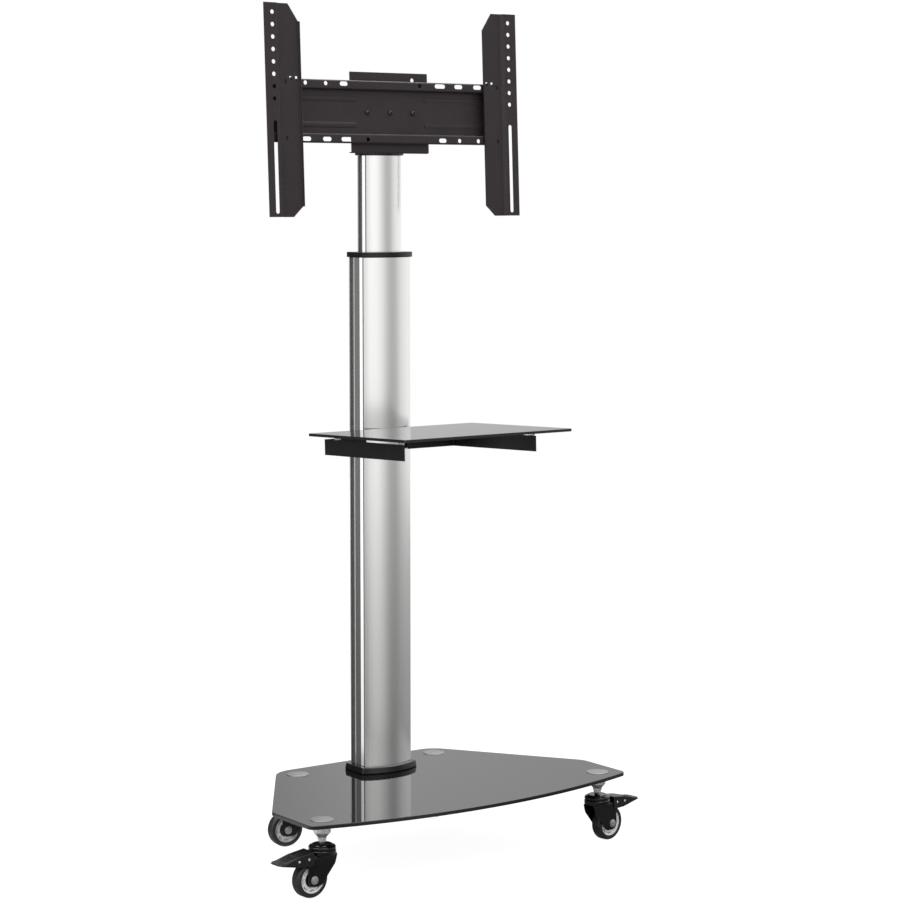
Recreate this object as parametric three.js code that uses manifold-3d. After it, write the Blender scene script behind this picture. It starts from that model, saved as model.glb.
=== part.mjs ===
// A mobile television stand: a glass base on four swivel casters carries a telescoping aluminium
// column, with a glass shelf clamped to it and a slotted steel television bracket on top.
// Millimetres, +X to the right of someone facing the screen, -Y towards that person, +Z up.
// The origin is on the floor, below the middle of the glass base.
import * as THREE from 'three';
import { mergeVertices } from 'three/addons/utils/BufferGeometryUtils.js';
import Module from 'manifold-3d';

const wasm = await Module();
wasm.setup();

// Gaps, tool overrun and the distance within which corners are one
const seatGap = 0.3;
const slideGap = 0.6;
const overrun = 2;
const weld = 0.001;
const half = 0.5;

// Glass base
const baseWidth = 810;
const baseDepth = 507;
const baseGlass = 8;
const baseRearWidth = 410;
const baseRearToBend = 301;
const baseBow = 63;
const baseRearRadius = 60;
const baseBendRadius = 40;
const baseFrontRadius = 16;
const rearToColumn = 101;
const baseGlassHeight = 145;

// Casters
const wheelRadius = 37.5;
const wheelWidth = 24;
const casterTrail = 31;
const frontCasterFromSide = 50;
const frontCasterFromFront = 98;
const rearCasterFromCorner = 25;
const rearCasterFromRear = 47;
const studRadius = 6;

// Column
const lowerWidth = 120;
const lowerSide = 55.4;
const lowerBulge = 15.3;
const lowerTopAboveGlass = 1107.7;
const upperWidth = 89.6;
const upperSide = 33.4;
const upperBulge = 11.4;
const upperShowing = 203.3;
const upperInside = 330;
const columnWall = 2.5;

// Shelf
const shelfWidth = 424;
const shelfDepth = 350;
const shelfGlass = 6;
const shelfRadius = 4;
const shelfAboveGlass = 745.4;
const shelfRake = THREE.MathUtils.degToRad(2.2);
const shelfArmSpread = 334;
const shelfArmLength = 289;
const shelfArmHeight = 33;

// Television bracket
const bracketLean = THREE.MathUtils.degToRad(2.5);
const plateWidth = 198;
const plateHeight = 168.6;
const barLength = 600;
const barHeight = 130;
const railFace = 19.5;
const armHeight = 433.5;
const holePitch = 25;
const sheet = 2;

// Levels that follow from those sizes
const glassTop = baseGlassHeight + baseGlass;
const rearEdge = baseDepth * half;
const columnY = rearEdge - rearToColumn;
const lowerTop = glassTop + lowerTopAboveGlass;
const lowerRear = lowerSide * half + lowerBulge;
const upperRear = upperSide * half + upperBulge;
const holeColumn = barLength * half;

const finish = {
  blackGlass: new THREE.MeshStandardMaterial({ color: 0x1a1c1d, roughness: 0.05, metalness: 0.1 }),
  aluminium: new THREE.MeshStandardMaterial({ color: 0xc4c5c4, roughness: 0.32, metalness: 0.9 }),
  blackSteel: new THREE.MeshStandardMaterial({ color: 0x2c2a2a, roughness: 0.55, metalness: 0.2 }),
  blackPlastic: new THREE.MeshStandardMaterial({ color: 0x141414, roughness: 0.3, metalness: 0 }),
  zinc: new THREE.MeshStandardMaterial({ color: 0xb9bbba, roughness: 0.3, metalness: 0.9 }),
  rubber: new THREE.MeshStandardMaterial({ color: 0x1b1b1b, roughness: 0.8, metalness: 0 }),
  greyPlastic: new THREE.MeshStandardMaterial({ color: 0xa9aaa8, roughness: 0.4, metalness: 0.3 }),
  clearRubber: new THREE.MeshStandardMaterial({ color: 0xe4e8e6, roughness: 0.2, metalness: 0 }),
};

// Merges a geometry's shared corners, drops empty triangles and turns its faces outwards
function closed(geometry) {
  const bare = new THREE.BufferGeometry();
  bare.setAttribute('position', geometry.getAttribute('position').clone());
  if (geometry.index) bare.setIndex(geometry.index.clone());
  const merged = mergeVertices(bare, weld);
  const corners = merged.getAttribute('position');
  const [a, b, c] = [new THREE.Vector3(), new THREE.Vector3(), new THREE.Vector3()];
  const kept = [];
  let volume = 0;
  for (let i = 0; i < merged.index.count; i += 3) {
    const [p, q, r] = [0, 1, 2].map((k) => merged.index.getX(i + k));
    if (p === q || q === r || r === p) continue;
    a.fromBufferAttribute(corners, p);
    b.fromBufferAttribute(corners, q);
    c.fromBufferAttribute(corners, r);
    volume += a.dot(b.cross(c));
    kept.push([p, q, r]);
  }
  merged.setIndex(kept.flatMap(([p, q, r]) => (volume < 0 ? [p, r, q] : [p, q, r])));
  return merged;
}

function solidOf(geometry) {
  const mesh = closed(geometry);
  return new wasm.Manifold(new wasm.Mesh({
    numProp: 3,
    vertProperties: new Float32Array(mesh.getAttribute('position').array),
    triVerts: new Uint32Array(mesh.index.array),
  }));
}

function geometryOf(solid) {
  const mesh = solid.getMesh();
  const geometry = new THREE.BufferGeometry();
  geometry.setAttribute('position', new THREE.BufferAttribute(new Float32Array(mesh.vertProperties), 3));
  geometry.setIndex(new THREE.BufferAttribute(new Uint32Array(mesh.triVerts), 1));
  return geometry;
}

const joined = (first, ...others) =>
  geometryOf(others.reduce((solid, other) => solid.add(solidOf(other)), solidOf(first)));
const cut = (first, ...tools) =>
  geometryOf(tools.reduce((solid, tool) => solid.subtract(solidOf(tool)), solidOf(first)));

// Extrusions of an outline of [first, second] coordinates: along Z, along X and along Y
function extrude(outline, length, holes = []) {
  const vectors = (ring) => ring.map(([x, y]) => new THREE.Vector2(x, y));
  const shape = new THREE.Shape(vectors(outline));
  shape.holes = holes.map((ring) => new THREE.Path(vectors(ring)));
  return new THREE.ExtrudeGeometry(shape, { depth: length, bevelEnabled: false, curveSegments: 1 });
}
const basis = (...axes) => new THREE.Matrix4().makeBasis(...axes.map((axis) => new THREE.Vector3(...axis)));
const alongX = basis([0, 1, 0], [0, 0, 1], [1, 0, 0]);
const alongY = basis([-1, 0, 0], [0, 0, 1], [0, 1, 0]);
const upright = (outline, from, to, holes) => extrude(outline, to - from, holes).translate(0, 0, from);
const sideways = (outline, from, to) =>
  extrude(outline, to - from).applyMatrix4(alongX).translate(from, 0, 0);
const lengthways = (outline, from, to) =>
  extrude(outline.map(([x, z]) => [-x, z]), to - from).applyMatrix4(alongY).translate(0, from, 0);

// A block between two opposite corners
function block(low, high) {
  const from = new THREE.Vector3(...low);
  const size = new THREE.Vector3(...high).sub(from);
  const middle = from.addScaledVector(size, half);
  return new THREE.BoxGeometry(...size.toArray()).translate(...middle.toArray());
}

// Turned solids about Z, from a profile of [radius, height]; a ring's profile closes on itself
const turned = (profile, sides = 16) =>
  new THREE.LatheGeometry(profile.map(([r, z]) => new THREE.Vector2(r, z)), sides).rotateX(Math.PI * half);
const ring = (profile, sides) => turned([...profile, profile[0]], sides);
const rod = (radius, from, to, sides = 12) =>
  turned([[0, from], [radius, from], [radius, to], [0, to]], sides);
// The same rod lying along Y
const crossRod = (radius, from, to, sides) =>
  rod(radius, -to, -from, sides).rotateX(Math.PI * half);

const circle = (x, y, radius, sides = 12) => Array.from({ length: sides }, (_, i) => {
  const turn = (2 * Math.PI * i) / sides;
  return [x + radius * Math.cos(turn), y + radius * Math.sin(turn)];
});

// A slot with round ends, lying along the first coordinate
function slot(x, y, length, width, steps = 4) {
  const reach = (length - width) * half;
  const rightEnd = Array.from({ length: steps + 1 }, (_, i) => {
    const turn = Math.PI * (i / steps - half);
    return [x + reach + width * half * Math.cos(turn), y + width * half * Math.sin(turn)];
  });
  return [...rightEnd, ...rightEnd.map(([u, v]) => [2 * x - u, 2 * y - v])];
}

// Rounds the corners of a polygon, each with its own radius; radius zero keeps a corner sharp
function rounded(points, radii, steps = 5) {
  return points.flatMap((point, i) => {
    if (!radii[i]) return [point];
    const here = new THREE.Vector2(...point);
    const back = new THREE.Vector2(...points.at(i - 1)).sub(here).normalize();
    const ahead = new THREE.Vector2(...points[(i + 1) % points.length]).sub(here).normalize();
    const halfOpening = Math.acos(THREE.MathUtils.clamp(back.dot(ahead), -1, 1)) * half;
    const tangent = radii[i] / Math.tan(halfOpening);
    const middle = back.clone().add(ahead).setLength(radii[i] / Math.sin(halfOpening)).add(here);
    const start = here.clone().addScaledVector(back, tangent).sub(middle);
    const end = here.clone().addScaledVector(ahead, tangent).sub(middle);
    const sweep = Math.atan2(start.cross(end), start.dot(end));
    return Array.from({ length: steps + 1 }, (_, k) => {
      const spoke = start.clone().rotateAround(new THREE.Vector2(), (sweep * k) / steps);
      return spoke.add(middle).toArray();
    });
  });
}
const allRounded = (points, radius, steps) => rounded(points, points.map(() => radius), steps);
const rectangle = (halfWidth, halfDepth) =>
  [[-halfWidth, -halfDepth], [halfWidth, -halfDepth], [halfWidth, halfDepth], [-halfWidth, halfDepth]];

// The outline of a bent sheet: one face runs along the points and the thickness lies to their left
function bentSheet(points, thickness) {
  const path = points.map((point) => new THREE.Vector2(...point));
  const normals = path.slice(1).map((point, i) => {
    const along = point.clone().sub(path[i]).normalize();
    return new THREE.Vector2(-along.y, along.x);
  });
  const farFace = path.map((point, i) => {
    const mitre = normals[Math.max(i - 1, 0)].clone().add(normals[Math.min(i, normals.length - 1)]);
    return point.clone().addScaledVector(mitre, (2 * thickness) / mitre.lengthSq());
  });
  return [...path, ...farFace.reverse()].map((point) => point.toArray());
}

function piece(name, geometry, material) {
  const mesh = new THREE.Mesh(closed(geometry), material);
  mesh.name = name;
  return mesh;
}

function gathered(...children) {
  const group = new THREE.Group();
  group.add(...children);
  return group;
}

// An arc over a chord that lies along X, bulging towards -Y
function bulgedArc(halfWidth, chordY, bulge, steps) {
  const radius = (halfWidth ** 2 + bulge ** 2) / (2 * bulge);
  const spread = Math.asin(halfWidth / radius);
  return Array.from({ length: steps + 1 }, (_, i) => {
    const turn = spread * ((2 * i) / steps - 1);
    return [radius * Math.sin(turn), chordY + radius - bulge - radius * Math.cos(turn)];
  });
}

// Details of the column's extruded sections
const lipThickness = 2;
const grooveWidth = 6.2;
const grooveDepth = 2.5;
const bevelWidth = 7.2;
const seamWidth = 6;
const seamDepth = 1.5;
const seamCentre = 8;
const arcSteps = 10;

// A section bulges in front and behind; each side has a lip, a groove and a bevel at both corners
function columnOutline(width, side, bulge, hasSeam) {
  const [w, s] = [width * half, side * half];
  const floor = w - grooveDepth;
  const lipEnd = s - lipThickness;
  const bevelStart = lipEnd - grooveWidth;
  const flatEnd = bevelStart - bevelWidth;
  const [seamStart, seamEnd] = [seamCentre - seamWidth * half, seamCentre + seamWidth * half];
  const seam = [[w, seamStart], [w - seamDepth, seamCentre], [w, seamEnd]];
  const right = [
    [w, -lipEnd], [floor, -lipEnd], [floor, -bevelStart], [w, -flatEnd],
    ...(hasSeam ? seam : []),
    [w, flatEnd], [floor, bevelStart], [floor, lipEnd], [w, lipEnd],
  ];
  const front = bulgedArc(w, -s, bulge, arcSteps);
  const rear = front.map(([x, y]) => [-x, -y]);
  return [...front, ...right, ...rear, ...right.map(([x, y]) => [-x, y]).reverse()];
}

// A plain outline that follows a section at a distance
function columnEnvelope(width, side, bulge, distance) {
  const front = bulgedArc(
    width * half + distance, -(side + distance) * half, bulge + distance * half, arcSteps);
  return [...front, ...front.map(([x, y]) => [-x, -y])];
}

// The bore of a section, or a plug that fits it with a clearance
function columnBore(width, side, bulge, clearance = 0) {
  const w = width * half;
  const outerRadius = (w ** 2 + bulge ** 2) / (2 * bulge);
  const radius = outerRadius - columnWall - clearance;
  const boreHalf = w - grooveDepth - columnWall - clearance;
  const rise = Math.sqrt(radius ** 2 - boreHalf ** 2);
  const chordY = outerRadius - bulge - side * half - rise;
  const front = bulgedArc(boreHalf, chordY, radius - rise, arcSteps);
  return [...front, ...front.map(([x, y]) => [-x, -y])];
}

const lower = [lowerWidth, lowerSide, lowerBulge];
const upper = [upperWidth, upperSide, upperBulge];

// A ring through stacked outlines of as many points each; the last outline joins the first
function loftedRing(levels) {
  const count = levels[0].outline.length;
  const corners = levels.flatMap(({ outline, z }) => outline.flatMap(([x, y]) => [x, y, z]));
  const faces = levels.flatMap((_, level) => levels[0].outline.flatMap((__, i) => {
    const [here, above] = [level * count, ((level + 1) % levels.length) * count];
    const next = (i + 1) % count;
    return [here + i, here + next, above + next, here + i, above + next, above + i];
  }));
  const geometry = new THREE.BufferGeometry();
  geometry.setAttribute('position', new THREE.Float32BufferAttribute(corners, 3));
  geometry.setIndex(faces);
  return geometry;
}

// Bolts that hold the column's foot through the glass
const footBoltSpreadX = 72;
const footBoltSpreadY = 26;
const footBoltRadius = 4;
const footBoltHole = 4.6;
const footBoltReach = 22;
const footBoltHead = 5;
const footBoltHeadRadius = 7;
const footHoleSides = 12;
const footPlaces = [[-1, -1], [1, -1], [-1, 1], [1, 1]]
  .map(([i, j]) => [i * footBoltSpreadX * half, j * footBoltSpreadY * half]);

// Tempered glass with a bowed front edge, clipped rear corners, and holes for studs and foot bolts
function makeBaseGlass(casters) {
  const side = baseWidth * half;
  const rear = baseRearWidth * half;
  const front = bulgedArc(side, baseBow - rearEdge, baseBow, arcSteps);
  const sides = [[side, rearEdge - baseRearToBend], [rear, rearEdge],
    [-rear, rearEdge], [-side, rearEdge - baseRearToBend]];
  const frontRadii = front.map((_, i) => (i % arcSteps ? 0 : baseFrontRadius));
  const outline = rounded([...front, ...sides],
    [...frontRadii, baseBendRadius, baseRearRadius, baseRearRadius, baseBendRadius]);
  const holes = [
    ...casters.map(({ x, y }) => circle(x, y, studRadius + slideGap)),
    ...footPlaces.map(([x, y]) => circle(x, columnY + y, footBoltHole, footHoleSides)),
  ];
  return piece('base_glass', upright(outline, baseGlassHeight, glassTop, holes), finish.blackGlass);
}

// The column's foot: gasket, flanged spigot, pressure plate and bolts
const gasketThickness = 1;
const footFlange = 6;
const footSpigot = 40;
const footPlateWidth = 150;
const footPlateDepth = 92;
const footPlateThickness = 4;
const footPlateRadius = 10;
const gasketBottom = glassTop + seatGap;
const flangeBottom = gasketBottom + gasketThickness + seatGap;
const flangeTop = flangeBottom + footFlange;
const lowerBottom = flangeTop + seatGap;

function makeFoot() {
  const holes = footPlaces.map(([x, y]) => circle(x, y, footBoltHole, footHoleSides));
  const gasket = piece('foot_gasket', upright(
    columnOutline(...lower), gasketBottom, gasketBottom + gasketThickness, holes), finish.rubber);
  const casting = joined(upright(columnOutline(...lower), flangeBottom, flangeTop),
    upright(columnBore(...lower, slideGap), flangeTop - overrun, flangeTop + footSpigot));
  const bores = footPlaces.map(([x, y]) =>
    rod(footBoltHole, flangeBottom - overrun, flangeTop + footBoltReach, footHoleSides).translate(x, y, 0));
  const plateTop = baseGlassHeight - seatGap;
  const plateBottom = plateTop - footPlateThickness;
  const plateOutline = allRounded(rectangle(footPlateWidth * half, footPlateDepth * half), footPlateRadius);
  const headTop = plateBottom - seatGap;
  const boltEnd = flangeTop + footBoltReach - slideGap;
  const bolts = footPlaces.map(([x, y], i) => piece(`foot_bolt_${i + 1}`, turned([
    [0, headTop - footBoltHead], [footBoltHeadRadius, headTop - footBoltHead],
    [footBoltHeadRadius, headTop], [footBoltRadius, headTop], [footBoltRadius, boltEnd], [0, boltEnd],
  ], footHoleSides).translate(x, y, 0), finish.zinc));
  const foot = gathered(gasket, ...bolts,
    piece('column_foot', cut(casting, ...bores), finish.blackSteel),
    piece('foot_plate', upright(plateOutline, plateBottom, plateTop, holes), finish.blackSteel));
  foot.position.y = columnY;
  return foot;
}

// Moulded trims of the column
const baseCollarHeight = 14;
const baseCollarFlare = 12;
const baseCollarLip = 10;
const topCollarHeight = 11.4;
const topCollarOverhang = 4.2;
const trimEdge = 1;
const topCollarSleeve = 45;
const capOverhang = 4.8;
const capHeight = 5;
const plugDepth = 25;
const shoeHeight = 30;
const collarTop = lowerTop + topCollarHeight;
const upperBottom = collarTop - upperInside;
const upperTop = collarTop + upperShowing;
const capTop = upperTop + seatGap + capHeight;

// Height lock: a lobed knob on a stud that passes through the rear wall of the lower tube
const knobBelowTop = 25;
const knobRadius = 17;
const knobDepth = 16;
const knobLobes = 6;
const knobLobeDepth = 2;
const knobLobeSteps = 4;
const knobNeck = 6;
const knobNeckRadius = 9;
const knobStudRadius = 4;
const knobBore = crossRod(knobStudRadius + seatGap, 0, lowerRear + overrun)
  .translate(0, 0, lowerTop - knobBelowTop);

// The ring round the foot of the column, wider at the glass
function makeBaseCollar() {
  const around = (distance) => columnEnvelope(...lower, distance);
  const [bottom, top] = [glassTop + seatGap, glassTop + seatGap + baseCollarHeight];
  return piece('base_collar', loftedRing([
    { outline: around(slideGap), z: bottom },
    { outline: around(baseCollarFlare), z: bottom },
    { outline: around(baseCollarLip), z: top - trimEdge },
    { outline: around(baseCollarLip - trimEdge), z: top },
    { outline: around(slideGap), z: top },
  ]), finish.blackPlastic);
}

// The bush that closes the lower tube and guides the upper one
function makeColumnCollar() {
  const hole = columnEnvelope(...upper, slideGap);
  const around = (distance) => columnEnvelope(...lower, distance);
  const bottom = lowerTop + seatGap;
  const rim = loftedRing([
    { outline: hole, z: bottom },
    { outline: around(topCollarOverhang), z: bottom },
    { outline: around(topCollarOverhang), z: collarTop - trimEdge },
    { outline: around(topCollarOverhang - trimEdge), z: collarTop },
    { outline: hole, z: collarTop },
  ]);
  const sleeve = upright(
    columnBore(...lower, slideGap), bottom - topCollarSleeve, bottom + overrun, [hole]);
  return piece('column_collar', cut(joined(rim, sleeve), knobBore), finish.blackPlastic);
}

// The shoe that guides the foot of the upper tube inside the lower one
function makeGlide() {
  const shoeTop = upperBottom - seatGap;
  const shoe = upright(columnBore(...lower, slideGap), shoeTop - shoeHeight, shoeTop);
  const plug = upright(columnBore(...upper, slideGap), shoeTop - overrun, upperBottom + plugDepth);
  return piece('upper_glide', joined(shoe, plug), finish.blackPlastic);
}

function makeCap() {
  const disc = upright(columnEnvelope(...upper, capOverhang), upperTop + seatGap, capTop);
  const plug = upright(columnBore(...upper, slideGap), upperTop - plugDepth, upperTop + seatGap + overrun);
  return piece('column_cap', joined(disc, plug), finish.blackPlastic);
}

function makeKnob() {
  const neckStart = lowerRear + seatGap;
  const gripStart = neckStart + knobNeck;
  const lobed = Array.from({ length: knobLobes * knobLobeSteps }, (_, i) => {
    const turn = (2 * Math.PI * i) / (knobLobes * knobLobeSteps);
    const radius = knobRadius - knobLobeDepth * (1 - Math.cos(knobLobes * turn)) * half;
    return [radius * Math.cos(turn), radius * Math.sin(turn)];
  });
  const knob = joined(
    lengthways(lobed, gripStart, gripStart + knobDepth),
    crossRod(knobNeckRadius, neckStart, gripStart + overrun),
    crossRod(knobStudRadius, upperRear + seatGap, neckStart + overrun));
  return piece('height_knob', knob.translate(0, 0, lowerTop - knobBelowTop), finish.blackPlastic);
}

function makeColumn() {
  const lowerTube = upright(columnOutline(...lower, true), lowerBottom, lowerTop, [columnBore(...lower)]);
  const upperTube = upright(columnOutline(...upper), upperBottom, upperTop, [columnBore(...upper)]);
  const column = gathered(makeBaseCollar(), makeColumnCollar(), makeGlide(), makeCap(), makeKnob(),
    piece('lower_column', cut(lowerTube, knobBore), finish.aluminium),
    piece('upper_column', upperTube, finish.aluminium));
  column.position.y = columnY;
  return column;
}

// The bracket's own frame starts at the middle of the centre plate's front face and leans back
const plateAheadOfColumn = 39.2;
const plateMiddleAboveCap = 83.2;
const plateLip = 9;
const plateHoleX = 60;
const plateHoleBelowTop = 14.7;
const holeRadius = 4.5;
const barFront = -seatGap - sheet;
const barRecess = 14.4;
const railFront = barFront - barRecess;
const railLip = 12;
const barBoltPitch = 58;
const barBoltRadius = 3;
const barBoltHole = 3.4;
const barBoltHead = 4;
const barBoltHeadRadius = 5.5;
const ribFromMiddle = 27;
const ribWidth = 12;
const ribHeight = 1.5;
const ribInnerEnd = 88;
const ribOuterEnd = 282;

// Holes in the rails, from the middle of the bar
const railHoleHeight = 57.3;
const railHoleXs = [169.5, 219.5];
const railShortSlotX = 125;
const railShortSlot = 20;
const railWideSlot = 21.6;
const railLongSlotX = 120.8;
const railLongSlot = 27.6;
const railInnerHoleX = 67.7;

// A plate with a lip folded back along its bottom and a spare hole near its upper right corner
function makeCentrePlate() {
  const [w, h] = [plateWidth * half, plateHeight * half];
  const section = bentSheet([[0, h], [0, -h], [plateLip, -h]], sheet);
  const boltHoles = [-1, 0, 1].map((i) =>
    crossRod(barBoltHole, -overrun, plateLip).translate(i * barBoltPitch, 0, 0));
  const spareHole = crossRod(holeRadius, -overrun, plateLip)
    .translate(plateHoleX, 0, h - plateHoleBelowTop);
  return piece('centre_plate', cut(sideways(section, -w, w), ...boltHoles, spareHole), finish.blackSteel);
}

// A hat-shaped bar: a rail above and below, a recessed floor with ribs, and slotted rails
function makeCrossbar() {
  const h = barHeight * half;
  const inner = h - railFace;
  const section = bentSheet([
    [railFront + railLip, h], [railFront, h], [railFront, inner], [barFront, inner],
    [barFront, -inner], [railFront, -inner], [railFront, -h], [railFront + railLip, -h],
  ], sheet);
  const ribs = [-1, 1].flatMap((side) => [-1, 1].map((level) => {
    const z = level * ribFromMiddle;
    const [foot, crown] = [ribWidth * half, ribWidth * half - ribHeight];
    const ends = [side * ribInnerEnd, side * ribOuterEnd];
    return sideways([
      [barFront + sheet * half, z - foot], [barFront, z - foot], [barFront - ribHeight, z - crown],
      [barFront - ribHeight, z + crown], [barFront, z + foot], [barFront + sheet * half, z + foot],
    ], Math.min(...ends), Math.max(...ends));
  }));
  const through = (outline) => lengthways(outline, railFront - overrun, railFront + sheet + overrun);
  const openings = [-1, 1].flatMap((side) => {
    const z = -side * railHoleHeight;
    return [
      ...railHoleXs.map((x) => through(circle(side * x, z, holeRadius))),
      through(slot(side * railShortSlotX, z, railShortSlot, 2 * holeRadius)),
      ...railHoleXs.map((x) => through(slot(side * x, -z, railWideSlot, 2 * holeRadius))),
      through(slot(side * railLongSlotX, -z, railLongSlot, 2 * holeRadius)),
      through(circle(side * railInnerHoleX, -z, holeRadius)),
    ];
  });
  const boltHoles = [-1, 0, 1].map((i) =>
    crossRod(barBoltHole, railFront, 0).translate(i * barBoltPitch, 0, 0));
  const bar = joined(sideways(section, -barLength * half, barLength * half), ...ribs);
  return piece('crossbar', cut(bar, ...openings, ...boltHoles), finish.blackSteel);
}

// Arms: a strip with the screw holes, a step back to a web that lies on the rails, and a top hook
const armTop = 216;
const armBottom = armTop - armHeight;
const stripOuterMargin = 20.2;
const stripWidth = 31.7;
const stripStep = 6;
const webInset = 65;
const webLip = 4;
const topClipWidth = 24;
const topClipHeight = 35.5;
const bottomClipWidth = 23;
const bottomClipHeight = 21.5;
const firstHoleBelowTop = 19;
const armHoles = 8;
const armSlotBelowTop = 237.7;
const armSlotLength = 189;
const hookInset = 50;
const hookWidth = 8;
const hookDrop = 9;
const reliefWidth = 6;
const reliefHeight = 9;
const reliefAboveRail = 4;
const keeperInset = 30;
const keeperWidth = 6;
const keeperHeight = 8;
const webBack = railFront - seatGap;
const webFront = webBack - sheet;
const stripFront = webFront - stripStep;

function makeArm(name, side) {
  const outer = holeColumn + stripOuterMargin;
  const stripInner = outer - stripWidth;
  const inner = holeColumn - webInset;
  const railTop = barHeight * half;
  const body = upright(bentSheet([
    [inner, webFront - webLip], [inner, webFront], [stripInner - stripStep, webFront],
    [stripInner, stripFront], [outer, stripFront],
  ], sheet), armBottom, armTop);
  const through = (outline) => lengthways(outline, stripFront - overrun, webBack + overrun);
  // A corner of the web cut off at a slant, together with the lip above or below it
  const clip = (edge, width, height, away) => through([
    [inner - sheet - overrun, edge - away * height], [inner, edge - away * height],
    [inner + width, edge], [inner + width, edge + away * overrun],
    [inner - sheet - overrun, edge + away * overrun]]);
  const holes = Array.from({ length: armHoles }, (_, i) =>
    through(circle(holeColumn, armTop - firstHoleBelowTop - i * holePitch, holeRadius)));
  const longSlot = through(slot(armTop - armSlotBelowTop - armSlotLength * half, holeColumn,
    armSlotLength, 2 * holeRadius).map(([z, x]) => [x, z]));
  const window = (x, z, width, height) => through(
    rectangle(width * half, height * half).map(([u, v]) => [x + u, z + v]));
  const hookX = holeColumn - hookInset;
  const reliefs = [-1, 1].map((hand) => window(hookX + hand * (hookWidth + reliefWidth) * half,
    railTop + reliefAboveRail - reliefHeight * half, reliefWidth, reliefHeight));
  const keepers = [-1, 1].map((hand) =>
    window(holeColumn - keeperInset, hand * railHoleHeight, keeperWidth, keeperHeight));
  const hookEnd = railFront + railLip + seatGap;
  const hook = sideways(bentSheet([
    [webBack - sheet * half, railTop + seatGap], [hookEnd, railTop + seatGap],
    [hookEnd, railTop - hookDrop]], sheet), hookX - hookWidth * half, hookX + hookWidth * half);
  const pierced = cut(body, clip(armTop, topClipWidth, topClipHeight, 1),
    clip(armBottom, bottomClipWidth, bottomClipHeight, -1), ...holes, longSlot, ...reliefs, ...keepers);
  return piece(name, joined(pierced, hook).scale(side, 1, 1), finish.blackSteel);
}

// The welded head that carries the centre plate: an upright, a foot on the cap and two cheeks
const headFootWidth = 84;
const headFootDepth = 54;
const headPlate = 3;
const uprightWidth = 150;
const uprightBottom = -66;
const uprightTop = 30;
const cheekSpread = 60;
const cheekDepth = 44;
const cheekBite = 1;

function makeHead(frame) {
  const [near, far] = [sheet + seatGap, sheet + seatGap + headPlate];
  const backPlate = block([-uprightWidth * half, near, uprightBottom],
    [uprightWidth * half, far, uprightTop]).applyMatrix4(frame);
  const floor = capTop + seatGap;
  const footFront = columnY - headFootDepth * half;
  const foot = block([-headFootWidth * half, footFront, floor],
    [headFootWidth * half, footFront + headFootDepth, floor + headPlate]);
  const corner = (y, z) => {
    const point = new THREE.Vector3(0, y, z).applyMatrix4(frame);
    return [point.y, point.z];
  };
  const cheekOutline = [
    [footFront + cheekBite, floor + cheekBite], [footFront + cheekDepth, floor + cheekBite],
    corner(far, uprightTop - cheekBite), corner(near + cheekBite, uprightTop - cheekBite),
    corner(near + cheekBite, uprightBottom + cheekBite),
  ];
  const cheeks = [-1, 1].map((side) => {
    const middle = side * cheekSpread * half;
    return sideways(cheekOutline, middle - headPlate * half, middle + headPlate * half);
  });
  const boltHoles = [-1, 0, 1].map((i) =>
    crossRod(barBoltHole, 0, far + overrun).translate(i * barBoltPitch, 0, 0).applyMatrix4(frame));
  return piece('head_bracket', cut(joined(backPlate, foot, ...cheeks), ...boltHoles), finish.blackSteel);
}

// Round-headed bolts through the bar, the centre plate and the head's upright
function makeBarBolt(place, i) {
  const boltEnd = sheet + seatGap + headPlate + barBoltHead;
  const face = barFront - seatGap;
  const head = turned([
    [0, -boltEnd], [barBoltRadius, -boltEnd], [barBoltRadius, -face], [barBoltHeadRadius, -face],
    [barBoltHeadRadius, barBoltHead * half - face], [barBoltHeadRadius * half, barBoltHead - face],
    [0, barBoltHead - face],
  ]);
  return piece(`crossbar_bolt_${i + 1}`,
    head.rotateX(Math.PI * half).translate(place * barBoltPitch, 0, 0), finish.blackSteel);
}

function makeBracket() {
  const leaning = gathered(makeCentrePlate(), makeCrossbar(), ...[-1, 0, 1].map(makeBarBolt),
    makeArm('tv_arm_left', -1), makeArm('tv_arm_right', 1));
  leaning.position.set(0, columnY - plateAheadOfColumn, capTop + plateMiddleAboveCap);
  leaning.rotation.x = -bracketLean;
  leaning.updateMatrix();
  return gathered(leaning, makeHead(leaning.matrix));
}

// The shelf's own frame starts where the top of the glass meets its rear edge and rises to the front
const shelfBehindGap = 0.9;
const padHeight = 8.4;
const padRadius = 7;
const padFromRear = 48;
const padFromFront = 14;
const armFrontInset = 66;
const armSheet = 2.5;
const flangeGap = 0.5;
const clampBar = 4;
const clampBarReach = 84;
const clampDraw = 6;
const clampEar = 20;
const clampTabReach = 16;
const clampTabHeight = 14.6;
const clampBoltRadius = 3;
const clampBoltHole = 3.4;
const clampBoltHead = 5;
const clampBoltHeadRadius = 5;
const clampBoltTail = 6;

const shelfArmTop = -shelfGlass - padHeight - 2 * seatGap;
const shelfArmBottom = shelfArmTop - shelfArmHeight;
const shelfArmFront = armFrontInset - shelfDepth;
const shelfArmRear = shelfArmFront + shelfArmLength;
const barNear = shelfBehindGap + 2 * lowerRear + seatGap - shelfArmBottom * Math.sin(shelfRake);
const earNear = barNear - clampDraw - armSheet;
const flangeX = lowerWidth * half + flangeGap + armSheet;
const clampBoltX = flangeX + clampEar * half;
const clampMiddle = (shelfArmTop + shelfArmBottom) * half;

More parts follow.
